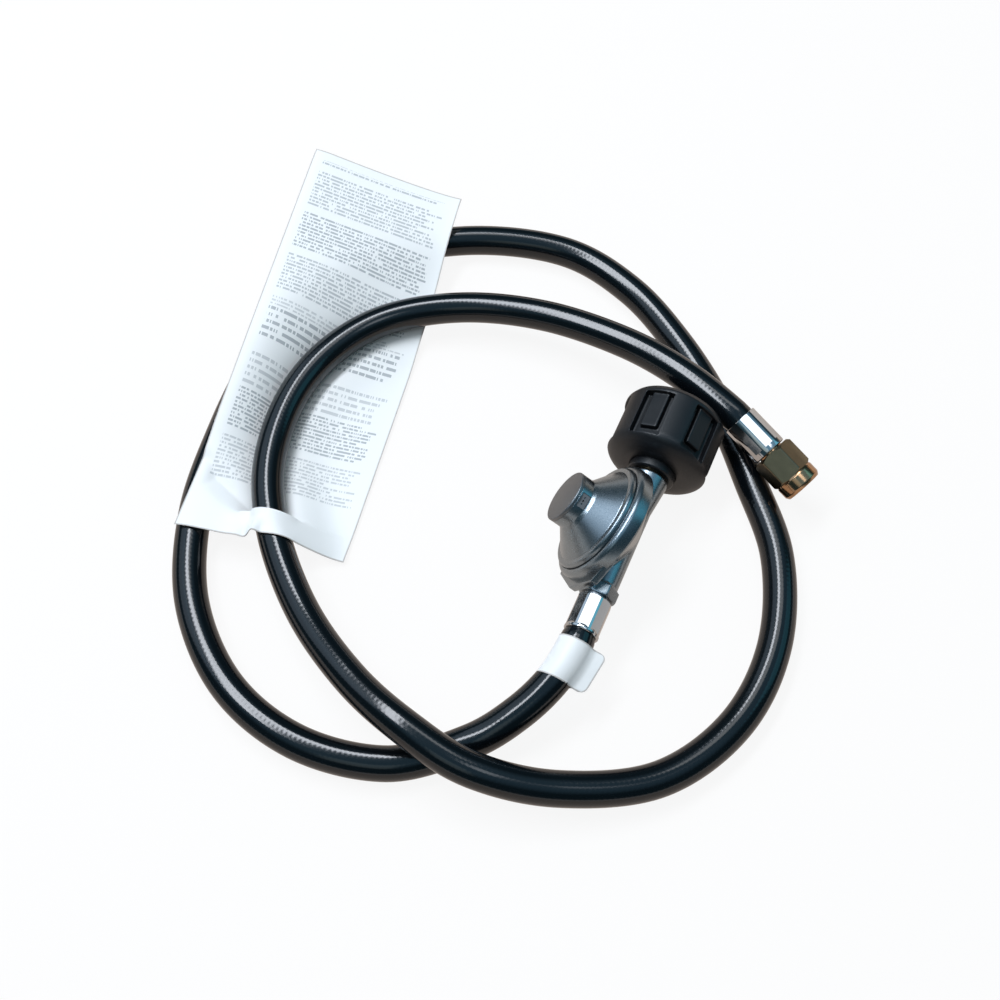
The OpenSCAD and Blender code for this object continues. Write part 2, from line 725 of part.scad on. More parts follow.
module bonnet() {
    color(zinc)
        at_regulator()
            difference() {
                spun([
                    [bonnet_inner_r, bonnet_low], [bonnet_flange_r, bonnet_low],
                    [bonnet_flange_r, bonnet_flange_top], [shoulder_r, bonnet_flange_top],
                    [shoulder_r, shoulder_top], [shoulder_r - 0.4, shoulder_top + 0.8],
                    [shoulder_r - 1.2, shoulder_top + 1.2], [cone_foot_r + 0.8, cone_foot_z - 0.4],
                    [cone_foot_r, cone_foot_z], [cone_head_r, cone_head_z],
                    [hub_r + 0.3, hub_low - 0.8], [hub_r, hub_low],
                    [hub_r, hub_top], [hub_bore_r, hub_top],
                    [hub_bore_r, hub_bore_low], [bonnet_inner_r, bonnet_inner_z]
                ]);
                rotate([0, 0, vent_angle]) {
                    translate([hub_r - vent_depth, -vent_width / 2, vent_low])
                        cube([vent_depth + bore_over, vent_width, vent_height]);
                    translate([hub_bore_r - bore_over, 0, vent_low + vent_height / 2])
                        rotate([0, 90, 0])
                            cylinder(r = vent_hole_r, h = hub_r - hub_bore_r + 2 * bore_over);
                }
            }
}

module vent_screen() {
    color(dark)
        at_regulator()
            rotate([0, 0, vent_angle])
                difference() {
                    translate([
                        hub_r - vent_depth + fixed_gap,
                        -vent_width / 2 + end_gap,
                        vent_low + end_gap
                    ])
                        cube([screen_thick, vent_width - 2 * end_gap, vent_height - 2 * end_gap]);
                    for (k = [-1 : 1])
                        translate([hub_r - vent_depth - bore_over, k * screen_pitch, vent_low + vent_height / 2])
                            rotate([0, 90, 0])
                                cylinder(r = screen_hole_r, h = 3 * bore_over);
                }
}

module bonnet_cap() {
    color(zinc)
        at_regulator()
            spun([
                [0, hub_top - cap_plug], [hub_bore_r - fixed_gap, hub_top - cap_plug],
                [hub_bore_r - fixed_gap, hub_top], [hub_r, hub_top],
                [hub_r, cap_top - cap_bevel], [hub_r - cap_bevel, cap_top], [0, cap_top]
            ]);
}

module spring_adjuster() {
    color(dark)
        at_regulator()
            difference() {
                translate([0, 0, adjuster_low])
                    cylinder(r = hub_bore_r - fixed_gap, h = adjuster_top - adjuster_low);
                translate([0, 0, adjuster_top - adjuster_key_depth])
                    cylinder(r = adjuster_key / 2 / cos(30), h = adjuster_key_depth + bore_over, $fn = 6);
            }
}

module main_spring() {
    color(steel)
        at_regulator()
            wire(
                helix(
                    spring_r, plate_top + spring_wire / 2 + fixed_gap,
                    adjuster_low - spring_wire / 2 - fixed_gap, spring_turns, 12
                ),
                spring_wire / 2, 6
            );
}

module diaphragm() {
    color(black)
        at_regulator()
            spun(concat(
                [[stem_neck_r + running_gap, seat_z], [fold_in_r, seat_z]],
                arc(
                    (fold_in_r + fold_out_r) / 2, seat_z, (fold_out_r - fold_in_r) / 2 - 0.4, fold_rise,
                    180, 0, 6
                ),
                [[fold_out_r, seat_z], [bonnet_flange_r, seat_z], [bonnet_flange_r, diaphragm_top]],
                [[fold_out_r, diaphragm_top]],
                arc(
                    (fold_in_r + fold_out_r) / 2, diaphragm_top, (fold_out_r - fold_in_r) / 2, fold_rise + 0.1,
                    0, 180, 6
                ),
                [[stem_neck_r + running_gap, diaphragm_top]]
            ));
}

module diaphragm_plate() {
    color(steel)
        at_regulator()
            spun([
                [stem_neck_r + fixed_gap, plate_low], [plate_r, plate_low],
                [plate_r, plate_top], [stem_neck_r + fixed_gap, plate_top]
            ]);
}

module diaphragm_stem() {
    color(steel)
        at_regulator()
            difference() {
                spun([
                    [0, stem_low], [stem_r, stem_low], [stem_r, stem_shoulder_top - stem_shoulder],
                    [stem_shoulder_r, stem_shoulder_top - stem_shoulder], [stem_shoulder_r, stem_shoulder_top],
                    [stem_neck_r, stem_shoulder_top], [stem_neck_r, plate_top],
                    [stem_head_r, plate_top], [stem_head_r, plate_top + stem_head], [0, plate_top + stem_head]
                ]);
                translate([
                    -lever_arm_width / 2 - 0.15,
                    -lever_nose_r - 0.6,
                    slot_z - lever_nose_r - running_gap
                ])
                    cube([lever_arm_width + 0.3, stem_r + bore_over + 1, 2 * (lever_nose_r + running_gap)]);
            }
}

// Lever frame: origin on the pin, turned from the shut pose to the open pose
module at_lever() {
    at_regulator()
        translate([0, pin_y, pin_z])
            rotate([lever_rest, 0, 0])
                children();
}

module valve_lever() {
    color(brass)
        at_lever()
            difference() {
                union() {
                    rotate([0, 90, 0])
                        cylinder(r = lever_boss_r, h = lever_boss_width, center = true);
                    rotate([-lever_swing, 0, 0]) {
                        translate([-lever_arm_width / 2, -lever_long, -lever_arm_thick / 2])
                            cube([lever_arm_width, lever_long, lever_arm_thick]);
                        translate([0, -lever_long, 0])
                            rotate([0, 90, 0])
                                cylinder(r = lever_nose_r, h = lever_arm_width, center = true);
                    }
                    translate([-lever_pad_width / 2, pad_back - lever_pad_thick, 0])
                        cube([lever_pad_width, lever_pad_thick, lever_short + lever_pad_over]);
                }
                rotate([0, 90, 0])
                    cylinder(r = pin_r + running_gap, h = 2 * lever_boss_width, center = true);
            }
}

module seat_disc() {
    color(black)
        at_lever()
            translate([0, pad_back, lever_short])
                to_inlet()
                    cylinder(r = seat_disc_r, h = seat_disc_thick);
}

module lever_pin() {
    color(steel)
        at_regulator()
            translate([0, pin_y, pin_z])
                rotate([0, 90, 0])
                    cylinder(r = pin_r, h = lever_boss_width + 2 * (lug_gap + lug_thick), center = true);
}

module inlet_orifice() {
    color(brass)
        on_gas_axis()
            spun([
                [orifice_bore_r, orifice_tip], [orifice_tip_r, orifice_tip],
                [orifice_r - fixed_gap, orifice_nose], [orifice_r - fixed_gap, socket_end],
                [orifice_flange_r, socket_end], [orifice_flange_r, socket_end + orifice_flange],
                [orifice_bore_r, socket_end + orifice_flange]
            ]);
}

module inlet_nipple() {
    color(brass)
        on_gas_axis()
            spun(concat(
                [
                    [nipple_bore_r, socket_end + orifice_flange + end_gap],
                    [nipple_r, socket_end + orifice_flange + end_gap],
                    [nipple_r, nipple_flange_at], [nipple_flange_r, nipple_flange_at],
                    [nipple_flange_r, nipple_flange_at + nipple_flange], [nose_r, nipple_flange_at + nipple_flange],
                    [nose_r, seal_at - seal_groove / 2], [seal_floor_r, seal_at - seal_groove / 2],
                    [seal_floor_r, seal_at + seal_groove / 2], [nose_r, seal_at + seal_groove / 2]
                ],
                arc(nose_r - nose_round, nose_tip - nose_round, nose_round, nose_round, 0, 90, 5),
                [
                    [nose_bore_r, nose_tip], [nose_bore_r, nose_bore_end], [nipple_bore_r, nose_bore_end]
                ]
            ));
}

module nipple_seal() {
    color(black)
        on_gas_axis()
            translate([0, 0, seal_at])
                rotate_extrude()
                    translate([seal_floor_r + seal_section_r + fixed_gap, 0])
                        circle(r = seal_section_r, $fn = 24);
}

module poppet() {
    color(brass)
        on_gas_axis()
            spun([
                [0, poppet_at], [poppet_r, poppet_at], [poppet_r, poppet_at + poppet_thick],
                [poppet_stem_r, poppet_at + poppet_thick], [poppet_stem_r, poppet_tip], [0, poppet_tip]
            ]);
}

module poppet_spring() {
    color(steel)
        on_gas_axis()
            wire(
                helix(
                    poppet_spring_r, nose_bore_end + poppet_spring_wire / 2 + fixed_gap,
                    poppet_at - poppet_spring_wire / 2 - fixed_gap, poppet_spring_turns, 10
                ),
                poppet_spring_wire / 2, 5
            );
}

module poppet_retainer() {
    color(brass)
        on_gas_axis()
            translate([0, 0, retainer_at])
                difference() {
                    cylinder(r = nose_bore_r - fixed_gap, h = retainer_thick);
                    translate([0, 0, -bore_over])
                        cylinder(r = poppet_stem_r + running_gap, h = retainer_thick + 2 * bore_over);
                    for (k = [0 : 2])
                        rotate([0, 0, 120 * k])
                            translate([retainer_hole_at, 0, -bore_over])
                                cylinder(r = retainer_hole_r, h = retainer_thick + 2 * bore_over, $fn = 24);
                }
}

module nut_bushing() {
    color(dark)
        on_gas_axis()
            spun([
                [nipple_r + running_gap, bushing_rear], [bushing_r - 0.6, bushing_rear],
                [bushing_r, bushing_rear + 0.6], [bushing_r, wheel_rear + wheel_wall],
                [bushing_flange_r, wheel_rear + wheel_wall], [bushing_flange_r, bushing_front],
                [nipple_r + running_gap, bushing_front]
            ]);
}

module handwheel_nut() {
    color(black)
        on_gas_axis()
            difference() {
                spun(concat(
                    [[bushing_r + running_gap, wheel_rear]],
                    arc(
                        wheel_rear_r, wheel_rear + wheel_dome, wheel_od / 2 - wheel_rear_r, wheel_dome,
                        -90, 0, 8
                    ),
                    [
                        [wheel_od / 2, wheel_front - wheel_chamfer],
                        [wheel_od / 2 - wheel_chamfer_in, wheel_front], [wheel_bore_r, wheel_front],
                        [wheel_bore_r, wheel_front - wheel_thread], [wheel_relief_r, wheel_front - wheel_thread],
                        [wheel_relief_r, wheel_rear + wheel_wall],
                        [bushing_r + running_gap, wheel_rear + wheel_wall]
                    ]
                ));
                for (k = [0 : rib_count - 1])
                    rotate([0, 0, rib_lean - 90 + 360 * (k + 0.5) / rib_count])
                        translate([grip_floor, -grip_width / 2, wheel_rear + grip_start])
                            cube([wheel_od, grip_width, wheel_length - grip_start - grip_rim]);
            }
}

// Sawtooth profile from one station to another
function barbs(from, to) = [
    for (k = [0 : barb_count - 1])
        let (pitch = (to - from) / barb_count)
            each [[barb_r, from + k * pitch], [barb_root_r, from + (k + 1) * pitch]]
];

module outlet_barb() {
    color(brass)
        translate([axis_x, disc_y, axis_h])
            rotate([90, 0, 0])
                spun(concat(
                    [
                        [tail_bore_r, outlet_face - barb_shank], [outlet_bore_r - fixed_gap, outlet_face - barb_shank],
                        [outlet_bore_r - fixed_gap, outlet_face], [barb_collar_r, outlet_face],
                        [barb_collar_r, outlet_face + barb_collar]
                    ],
                    [[barb_r, outlet_face + barb_collar]],
                    barbs(hose_start + 1, barb_end - 1),
                    [[tail_bore_r, barb_end - 1]]
                ));
}

module outlet_ferrule() {
    color(chrome)
        translate([axis_x, disc_y, axis_h])
            rotate([90, 0, 0])
                translate([0, 0, outlet_face + barb_collar])
                    difference() {
                        union() {
                            intersection() {
                                cylinder(r = ferrule_r, h = ferrule_length);
                                rotate([0, 0, 22.5])
                                    cylinder(r = ferrule_flat / cos(22.5), h = ferrule_length, $fn = 8);
                            }
                            translate([0, 0, ferrule_length - ferrule_lip])
                                cylinder(r = ferrule_lip_r, h = ferrule_lip);
                        }
                        translate([0, 0, ferrule_wall])
                            cylinder(r = ferrule_inner_r, h = ferrule_length);
                        translate([0, 0, -bore_over])
                            cylinder(r = ferrule_hole_r, h = ferrule_wall + 2 * bore_over);
                    }
}

module hose() {
    color(black)
        tube(hose_line, hose_outer, [for (i = [1 : hose_rings]) hose_bore_r], hose_sides);
}

module flare_ferrule() {
    color(chrome)
        at_flare()
            spun([
                [far_ferrule_inner_r, 0], [far_ferrule_r - 0.4, 0], [far_ferrule_r, 0.6],
                [far_ferrule_r, far_ferrule_length - 0.8], [far_ferrule_r - 0.8, far_ferrule_length],
                [ferrule_hole_r, far_ferrule_length], [ferrule_hole_r, far_ferrule_length - ferrule_wall],
                [far_ferrule_inner_r, far_ferrule_length - ferrule_wall]
            ]);
}

module flare_tail() {
    color(brass)
        at_flare()
            spun(concat(
                [[tail_bore_r, 2]],
                [
                    for (k = [0 : barb_count - 1])
                        let (pitch = (hose_far_end - 3) / barb_count)
                            each [[barb_root_r, 2 + k * pitch], [barb_r, 2 + (k + 1) * pitch]]
                ],
                [
                    [barb_r, far_ferrule_length], [tail_collar_r, far_ferrule_length],
                    [tail_collar_r, far_ferrule_length + tail_collar], [tail_stem_r, far_ferrule_length + tail_collar],
                    [tail_stem_r, nut_seat + turn_gap], [flare_head_r, nut_seat + turn_gap],
                    [flare_head_r, nut_seat + turn_gap + flare_head],
                    [flare_tip_r, nut_seat + turn_gap + flare_head + flare_head_r - flare_tip_r],
                    [tail_bore_r, nut_seat + turn_gap + flare_head + flare_head_r - flare_tip_r]
                ]
            ));
}

module flare_nut() {
    color(brass)
        at_flare()
            difference() {
                union() {
                    intersection() {
                        translate([0, 0, nut_rear])
                            rotate([0, 0, nut_turn])
                                cylinder(r = nut_hex / 2 / cos(30), h = nut_hex_length, $fn = 6);
                        spun([
                            [0, nut_rear - 1], [nut_hex / 2 - 0.4, nut_rear - 1],
                            [nut_hex / 2 + 1.4, nut_rear + 1.2], [nut_hex / 2 + 1.4, nut_collar_at - 1],
                            [nut_hex / 2 - 0.2, nut_collar_at + 1], [0, nut_collar_at + 1]
                        ]);
                    }
                    spun([
                        [0, nut_collar_at - 0.5], [nut_collar_r - 0.8, nut_collar_at - 0.5],
                        [nut_collar_r, nut_collar_at + 0.9], [nut_collar_r, nut_front - 1.6],
                        [nut_collar_r - 1.2, nut_front], [0, nut_front]
                    ]);
                }
                translate([0, 0, nut_rear - bore_over])
                    cylinder(r = tail_stem_r + running_gap, h = nut_wall + 2 * bore_over);
                translate([0, 0, nut_seat])
                    cylinder(r = nut_relief_r, h = nut_front - nut_thread - nut_seat);
                translate([0, 0, nut_seat + 1])
                    cylinder(r = nut_bore_r, h = nut_front - nut_seat + bore_over);
            }
}

// Tag: a sheet that lies over the outer turn of the hose and under the inner one
tag_foot_left = [-182, -90];
tag_foot_right = tag_foot_left + tag_width * [cos(tag_foot_turn), sin(tag_foot_turn)];
tag_head_left = tag_foot_left + tag_length * [-sin(tag_lean), cos(tag_lean)];
tag_head_right = tag_head_left + tag_width * [cos(tag_head_turn), sin(tag_head_turn)];
outer_turn = [for (i = [8 : 14]) for (k = [0 : 5]) along(i, k / 6)];
inner_turn = [for (i = [28 : 35]) for (k = [0 : 5]) along(i, k / 6)];

function tag_plan(u, v) =
    (1 - v) * ((1 - u) * tag_foot_left + u * tag_foot_right) + v * ((1 - u) * tag_head_left + u * tag_head_right);
function share(x, from, to) = min(max((x - from) / (to - from), 0), 1);
// Distance from a turn of the hose seen from above, positive outside it, and the height of the turn
function from_turn(p, s) = let (
    d = [for (q = s) norm([q[0] - p[0], q[1] - p[1]])],
    m = min(d),
    k = [for (i = [0 : len(d) - 1]) if (d[i] == m) i][0],
    a = s[max(k - 1, 0)],
    b = s[min(k + 1, len(s) - 1)],
    c = (b[0] - a[0]) * (p[1] - a[1]) - (b[1] - a[1]) * (p[0] - a[0])
) [c > 0 ? m : -m, s[k][2]];

function tag_height(u, v, strip) = let (
    p = tag_plan(u, v),
    a = from_turn(p, outer_turn),
    b = from_turn(p, inner_turn),
    under = b[1] - hose_r - tag_gap,
    over = a[1] + hose_r + tag_gap,
    w = a[0] < 0 ? min(max(b[0] / max(b[0] - a[0], 0.001), 0), 1) : 1,
    slope = under + (over - under) * share(w, 0.16, 0.8),
    inside = max(1.2, under - 0.22 * max(-b[0] - 5, 0)),
    sheet = (b[0] < 0 ? inside : slope) + tag_rise * max(a[0] - 6, 0),
    drop = b[0] > 0 ? 0.75 : 0.62,
    tent = b[1] + hose_r + tag_gap + 0.7 - drop * max(abs(b[0]) - 3, 0),
    flat = b[0] < 0 ? 1.2 : over - 0.2 * max(-a[0] - 6, 0),
    ridge = max(flat, tent)
) strip ? ridge : sheet + share(v, 0.26, slit_at) * share(abs(b[0]), 5, slit_half) * (ridge - sheet);

tag_strip_rows = 2;
function tag_row(j) = j < tag_strip_rows
    ? slit_at * j / tag_strip_rows
    : slit_at + (1 - slit_at) * pow((j - tag_strip_rows) / (tag_along - tag_strip_rows), 1.4);
// Columns of the tag grid that lie inside the slit
function in_slit(i) = abs(from_turn(tag_plan(i / tag_across, slit_at), inner_turn)[0]) < slit_half - 0.5;
slit_columns = [for (i = [0 : tag_across]) if (in_slit(i)) i];
slit_first = slit_columns[0];
slit_last = slit_columns[len(slit_columns) - 1];
tag_sheet = [
    for (j = [0 : tag_along])
        for (i = [0 : tag_across])
            let (p = tag_plan(i / tag_across, tag_row(j)))
                [p[0], p[1], tag_height(i / tag_across, tag_row(j), j < tag_strip_rows)]
];
tag_lip = [
    for (i = slit_columns)
        let (p = tag_plan(i / tag_across, slit_at))
            [p[0], p[1], tag_height(i / tag_across, slit_at, true)]
];
tag_base = len(tag_sheet);
tag_side = tag_base + len(tag_lip);
function tag_at(i, j) = j * (tag_across + 1) + i;
function tag_lip_at(i) = i >= slit_first && i <= slit_last
    ? tag_base + i - slit_first
    : tag_at(i, tag_strip_rows);
function tag_cell(i, j) = j == tag_strip_rows - 1
    ? [tag_at(i, j), tag_at(i + 1, j), tag_lip_at(i + 1), tag_lip_at(i)]
    : [tag_at(i, j), tag_at(i + 1, j), tag_at(i + 1, j + 1), tag_at(i, j + 1)];
tag_cells = [for (j = [0 : tag_along - 1]) for (i = [0 : tag_across - 1]) tag_cell(i, j)];
tag_halves = [for (q = tag_cells) each [[q[0], q[1], q[2]], [q[0], q[2], q[3]]]];
tag_rim = concat(
    [for (i = [0 : tag_across - 1]) [tag_at(i, 0), tag_at(i + 1, 0)]],
    [for (j = [0 : tag_along - 1]) [tag_at(tag_across, j), tag_at(tag_across, j + 1)]],
    [for (i = [tag_across - 1 : -1 : 0]) [tag_at(i + 1, tag_along), tag_at(i, tag_along)]],
    [for (j = [tag_along - 1 : -1 : 0]) [tag_at(0, j + 1), tag_at(0, j)]],
    [for (i = [slit_first - 1 : slit_last]) [tag_lip_at(i + 1), tag_lip_at(i)]],
    [for (i = [slit_first - 1 : slit_last]) [tag_at(i, tag_strip_rows), tag_at(i + 1, tag_strip_rows)]]
);

module instruction_tag() {
    color(white)
        polyhedron(
            concat(tag_sheet, tag_lip, [for (p = concat(tag_sheet, tag_lip)) p + [0, 0, tag_thick]]),
            concat(
                tag_halves,
                [for (q = tag_halves) [q[2] + tag_side, q[1] + tag_side, q[0] + tag_side]],
                [
                    for (e = tag_rim)
                        each [[e[1], e[0], e[0] + tag_side], [e[1], e[0] + tag_side, e[1] + tag_side]]
                ]
            ),
            10
        );
}

sticker_first = 2;
sticker_line = [for (i = [sticker_first : sticker_first + sticker_steps]) hose_line[i]];
sticker_in_r = hose_r + sticker_gap;
sticker_out_r = sticker_in_r + sticker_thick;

// Section of the sticker: a ring of corners with four more where the flag leaves it
sticker_slant = tan(180 / hose_sides);
function corner(r, k) = r * [cos(360 * k / hose_sides), sin(360 * k / hose_sides)];
function sticker_section(r, near_half, far_half, reach) = [
    for (k = [0 : hose_sides - 1])
        each k * 4 == hose_sides * 3
            ? [
                [-near_half, near_half * sticker_slant - r], [-far_half, -reach],
                [far_half, -reach], [near_half, near_half * sticker_slant - r]
            ]
            : [corner(r, k)]
];
sticker_outer = sticker_section(sticker_out_r, flag_thick / 2, flag_thick / 2, sticker_out_r + flag_width);
sticker_inner = sticker_section(
    sticker_in_r, flag_thick / 2, flag_thick / 4, sticker_in_r - flag_thick / 4 * sticker_slant
);

module hose_label() {
    color(white)
        sleeve(sticker_line, sticker_outer, sticker_inner);
}

// Sleeve of one section, swept along a line of points
module sleeve(c, outer, inner) {
    m = len(c);
    n = len(outer);
    points = concat(
        [for (i = [0 : m - 1]) for (q = outer) placed(c[i], heading(c, i), q)],
        [for (i = [0 : m - 1]) for (q = inner) placed(c[i], heading(c, i), q)]
    );
    polyhedron(points, sleeve_faces(m, n), 10);
}

regulator_body();
bonnet();
bonnet_cap();
spring_adjuster();
main_spring();
diaphragm();
diaphragm_plate();
diaphragm_stem();
valve_lever();
lever_pin();
seat_disc();
inlet_orifice();
vent_screen();
inlet_nipple();
nipple_seal();
poppet();
poppet_spring();
poppet_retainer();
nut_bushing();
handwheel_nut();
outlet_barb();
outlet_ferrule();
hose();
flare_ferrule();
flare_tail();
flare_nut();
instruction_tag();
hose_label();
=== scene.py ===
"""Dressed model of a low-pressure gas regulator with its looped hose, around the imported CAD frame.

Heights and stations are written in millimetres and multiplied by MM. The gas axis runs along +Y,
the bonnet leans towards -X and the hose lies on the floor, z = 0.
"""

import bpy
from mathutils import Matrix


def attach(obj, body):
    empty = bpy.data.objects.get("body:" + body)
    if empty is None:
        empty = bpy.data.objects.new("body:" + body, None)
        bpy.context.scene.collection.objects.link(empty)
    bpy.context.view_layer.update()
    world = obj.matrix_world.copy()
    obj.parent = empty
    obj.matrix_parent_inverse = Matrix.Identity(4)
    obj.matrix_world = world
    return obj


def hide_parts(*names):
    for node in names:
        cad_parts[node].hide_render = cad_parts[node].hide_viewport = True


bl_info = {
    "name": "Gas regulator hose",
    "version": (1, 0, 0),
    "blender": (4, 5, 0),
    "location": "3D View > Sidebar > Gas Hose",
    "description": "Models and dresses a gas regulator with its hose, tag, sticker and flare nut",
    "category": "Object",
}

import math

import bpy
import numpy as np
from bpy.props import FloatProperty, FloatVectorProperty, IntProperty, PointerProperty
from mathutils import Matrix, Vector

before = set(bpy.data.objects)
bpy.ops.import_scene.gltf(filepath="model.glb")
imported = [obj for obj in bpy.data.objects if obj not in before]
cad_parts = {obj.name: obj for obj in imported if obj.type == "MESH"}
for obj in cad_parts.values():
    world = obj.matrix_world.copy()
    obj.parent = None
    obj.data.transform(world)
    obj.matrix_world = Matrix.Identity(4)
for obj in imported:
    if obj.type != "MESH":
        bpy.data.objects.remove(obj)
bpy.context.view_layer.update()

MM = 0.001

# Frames of the object: the gas axis, the leaning bonnet and the flare end of the hose
AXIS = Vector((5.426, -17.75, 24.0))
BONNET = Matrix.Translation(AXIS * MM) @ Matrix.Rotation(math.radians(-60), 4, "Y")
TO_INLET = Matrix.Rotation(math.radians(-90), 4, "X")
TO_OUTLET = Matrix.Rotation(math.radians(90), 4, "X")
INLET = Matrix.Translation(AXIS * MM) @ TO_INLET
OUTLET = Matrix.Translation(AXIS * MM) @ TO_OUTLET
FLARE_START = Vector((33.0, 57.0, 28.8))
FLARE = (
    Matrix.Translation(FLARE_START * MM)
    @ Matrix.Rotation(math.radians(-22), 4, "Z")
    @ Matrix.Rotation(math.radians(104), 4, "Y")
)

# Route of the hose seen from above, with the height as a share of one crossing
LAID = (
    (3, -88, 0.92), (-6, -107.5, 0.52), (-21, -126, 0.1), (-48, -147, 0), (-87, -154, 0),
    (-126, -144, 0), (-159, -117, 0), (-180, -79, 0), (-190, -38, 0), (-195, 5, 0),
    (-192, 48, 0), (-170, 89, 0), (-131, 118, 0), (-84, 131, 0), (-44, 122, 0),
    (-9, 100, 0), (22, 72, 0), (47.3, 41.3, 0), (71, 9, 0), (83, -32, 0),
    (79, -72, 0), (58, -107, 0.08), (22, -129, 0.42), (-13, -138, 0.9), (-44, -134, 1.05),
    (-76, -123, 0.78), (-110, -103, 0.47), (-140, -75, 0.38), (-159, -45, 0.38), (-167, -10, 0.38),
    (-163, 22, 0.38), (-146, 51, 0.4), (-114, 72, 0.5), (-74, 81, 0.76), (-32, 79, 1.06),
    (2, 70, 1.3),
)

# Hose radius, height of one crossing, and the hose's start and gripped lengths at its two ends
HOSE_R = 7.5
CROSSING = 15.8
HOSE_START = 34.4
GRIPPED = 15.6
FAR_GRIPPED = 18.8

# Columns and rows of the tag's mesh, its slit's place as a share of its length, half the slit's width,
# the paper's stand-off from the hose, and a height that the paper never reaches
TAG_COLUMNS = 64
TAG_ROWS = 168
STRIP_ROWS = 10
SLIT_AT = 0.06
SLIT_HALF = 12.5
TAG_GAP = 1.0
NO_ROOF = 1000.0

# Route points of the outer turn that the tag lies on and of the inner turn above it
OUTER_TURN = (7, 16)
INNER_TURN = (27, 37)

# Points drawn between two route points, sides of bores and of pin holes, and the merging distance
CURVE_STEPS = 24
TURN_STEPS = 16
BORE_SIDES = 96
PIN_SIDES = 32
MERGE = 0.002 * MM


def linear(text):
    """Linear colour of an sRGB hex value, with full alpha."""
    parts = [int(text[k : k + 2], 16) / 255 for k in (1, 3, 5)]
    return tuple(p / 12.92 if p <= 0.04045 else ((p + 0.055) / 1.055) ** 2.4 for p in parts) + (1.0,)


def colour(name, description, text):
    return FloatVectorProperty(
        name=name, description=description, subtype="COLOR", size=4, min=0, max=1, default=linear(text)
    )


def length(name, description, millimetres):
    return FloatProperty(name=name, description=description, default=millimetres * MM, min=0, unit="LENGTH")


class HoseSizes(bpy.types.PropertyGroup):
    """Sizes of the hose and of what is fixed to it"""

    diameter: length("Diameter", "Outside diameter of the hose", 15)
    bore: length("Bore", "Diameter of the bore of the hose", 8)
    ring_spacing: length("Ring spacing", "Distance between the rings of the hose mesh", 2.5)
    sides: IntProperty(name="Sides", description="Sides of the hose mesh", default=32, min=8)
    rib_pitch: length("Rib pitch", "Distance between the ribs that the braid presses into the skin", 2.2)
    tag_width: length("Tag width", "Width of the paper tag", 76.3)
    tag_length: length("Tag length", "Length of the paper tag", 208.8)
    tag_thickness: length("Tag thickness", "Thickness of the paper tag", 0.3)
    sticker_thickness: length("Sticker thickness", "Thickness of the sticker", 0.16)


class RegulatorSizes(bpy.types.PropertyGroup):
    """Sizes of the regulator and its hand wheel"""

    cast_detail: length("Cast detail", "Grid on which the casting's corners are softened", 0.5)
    moulded_detail: length("Moulded detail", "Grid on which the hand wheel's corners are softened", 0.42)
    wheel_ribs: IntProperty(name="Wheel ribs", description="Number of grip ribs", default=6, min=3)
    rib_lean: FloatProperty(
        name="Rib lean", description="Lean of the uppermost rib", default=math.radians(8), subtype="ANGLE"
    )
    turned_steps: IntProperty(name="Turned steps", description="Sides of turned pieces", default=128, min=24)


class Finishes(bpy.types.PropertyGroup):
    """Colours of the finishes"""

    zinc: colour("Zinc", "Bare die-cast zinc", "#8a9399")
    cap: colour("Cap", "Dull face of the cap", "#7a7d80")
    hose: colour("Hose", "Black hose skin", "#070c10")
    wheel: colour("Wheel", "Black glass-filled nylon", "#0a0c10")
    chrome: colour("Chrome", "Plated ferrules", "#b9b8b8")
    brass: colour("Brass", "Milled brass", "#786d58")
    turned_brass: colour("Turned brass", "Polished brass collar", "#b08a68")
    paper: colour("Paper", "White coated paper", "#f6f9f9")
    # Painted shade: a grey darker than the paper, drawn as a thin line along the edges of the tag and the
    # sticker
    paper_edge_shade: colour("Paper edge", "Cut edge of the paper, slightly soiled", "#a39a92")
    ink: colour("Ink", "Grey of the plain rows on the tag", "#66727d")
    grey_nylon: colour("Grey nylon", "Vent screen and adjuster", "#6a6f74")
    steel: colour("Steel", "Drawn spring steel", "#9a9da1")
    rubber: colour("Rubber", "Nitrile rubber", "#101112")


def power(name, description, watts):
    return FloatProperty(name=name, description=description, default=watts, min=0, unit="POWER")


class StageSettings(bpy.types.PropertyGroup):
    """Camera, floor and light"""

    lens: FloatProperty(
        name="Lens", description="Focal length on a 36 mm sensor", default=42.48, subtype="DISTANCE_CAMERA"
    )
    key_power: power("Key power", "Power of the main lamp", 14.5)
    fill_power: power("Fill power", "Power of the window lamp", 3.9)
    back_power: power("Back power", "Power of the lamp behind", 1.2)
    front_power: power("Front power", "Power of the lamp in front", 0.83)
    low_power: power("Low power", "Power of the low front lamp", 0.43)
    warm_power: power("Warm power", "Power of the warm lamp", 0.3)
    side_power: power("Side power", "Power of the cool lamp", 2.0)
    walls: colour("Walls", "Dim walls that the metal mirrors", "#2f4a55")
    ceiling: colour("Ceiling", "Pale ceiling that the metal mirrors", "#7faecb")
    warm_floor: colour("Warm floor", "Pale floor that the metal mirrors", "#d8cabf")
    dome: FloatProperty(name="Dome", description="Strength of the light from all round", default=0.25, min=0)


def fill(tree, node, sockets):
    """Sets or links a node's inputs. A node given as a value stands for its first output in use."""
    for key, value in sockets.items():
        if isinstance(value, bpy.types.Node):
            value = next(output for output in value.outputs if output.enabled)
        if isinstance(value, bpy.types.NodeSocket):
            tree.links.new(value, node.inputs[key])
        else:
            node.inputs[key].default_value = value


def add_node(tree, kind, sockets=None, **settings):
    """Adds one node, sets its fields, and fills or links its inputs."""
    made = tree.nodes.new("ShaderNode" + kind)
    for name, value in settings.items():
        setattr(made, name, value)
    fill(tree, made, sockets or {})
    return made


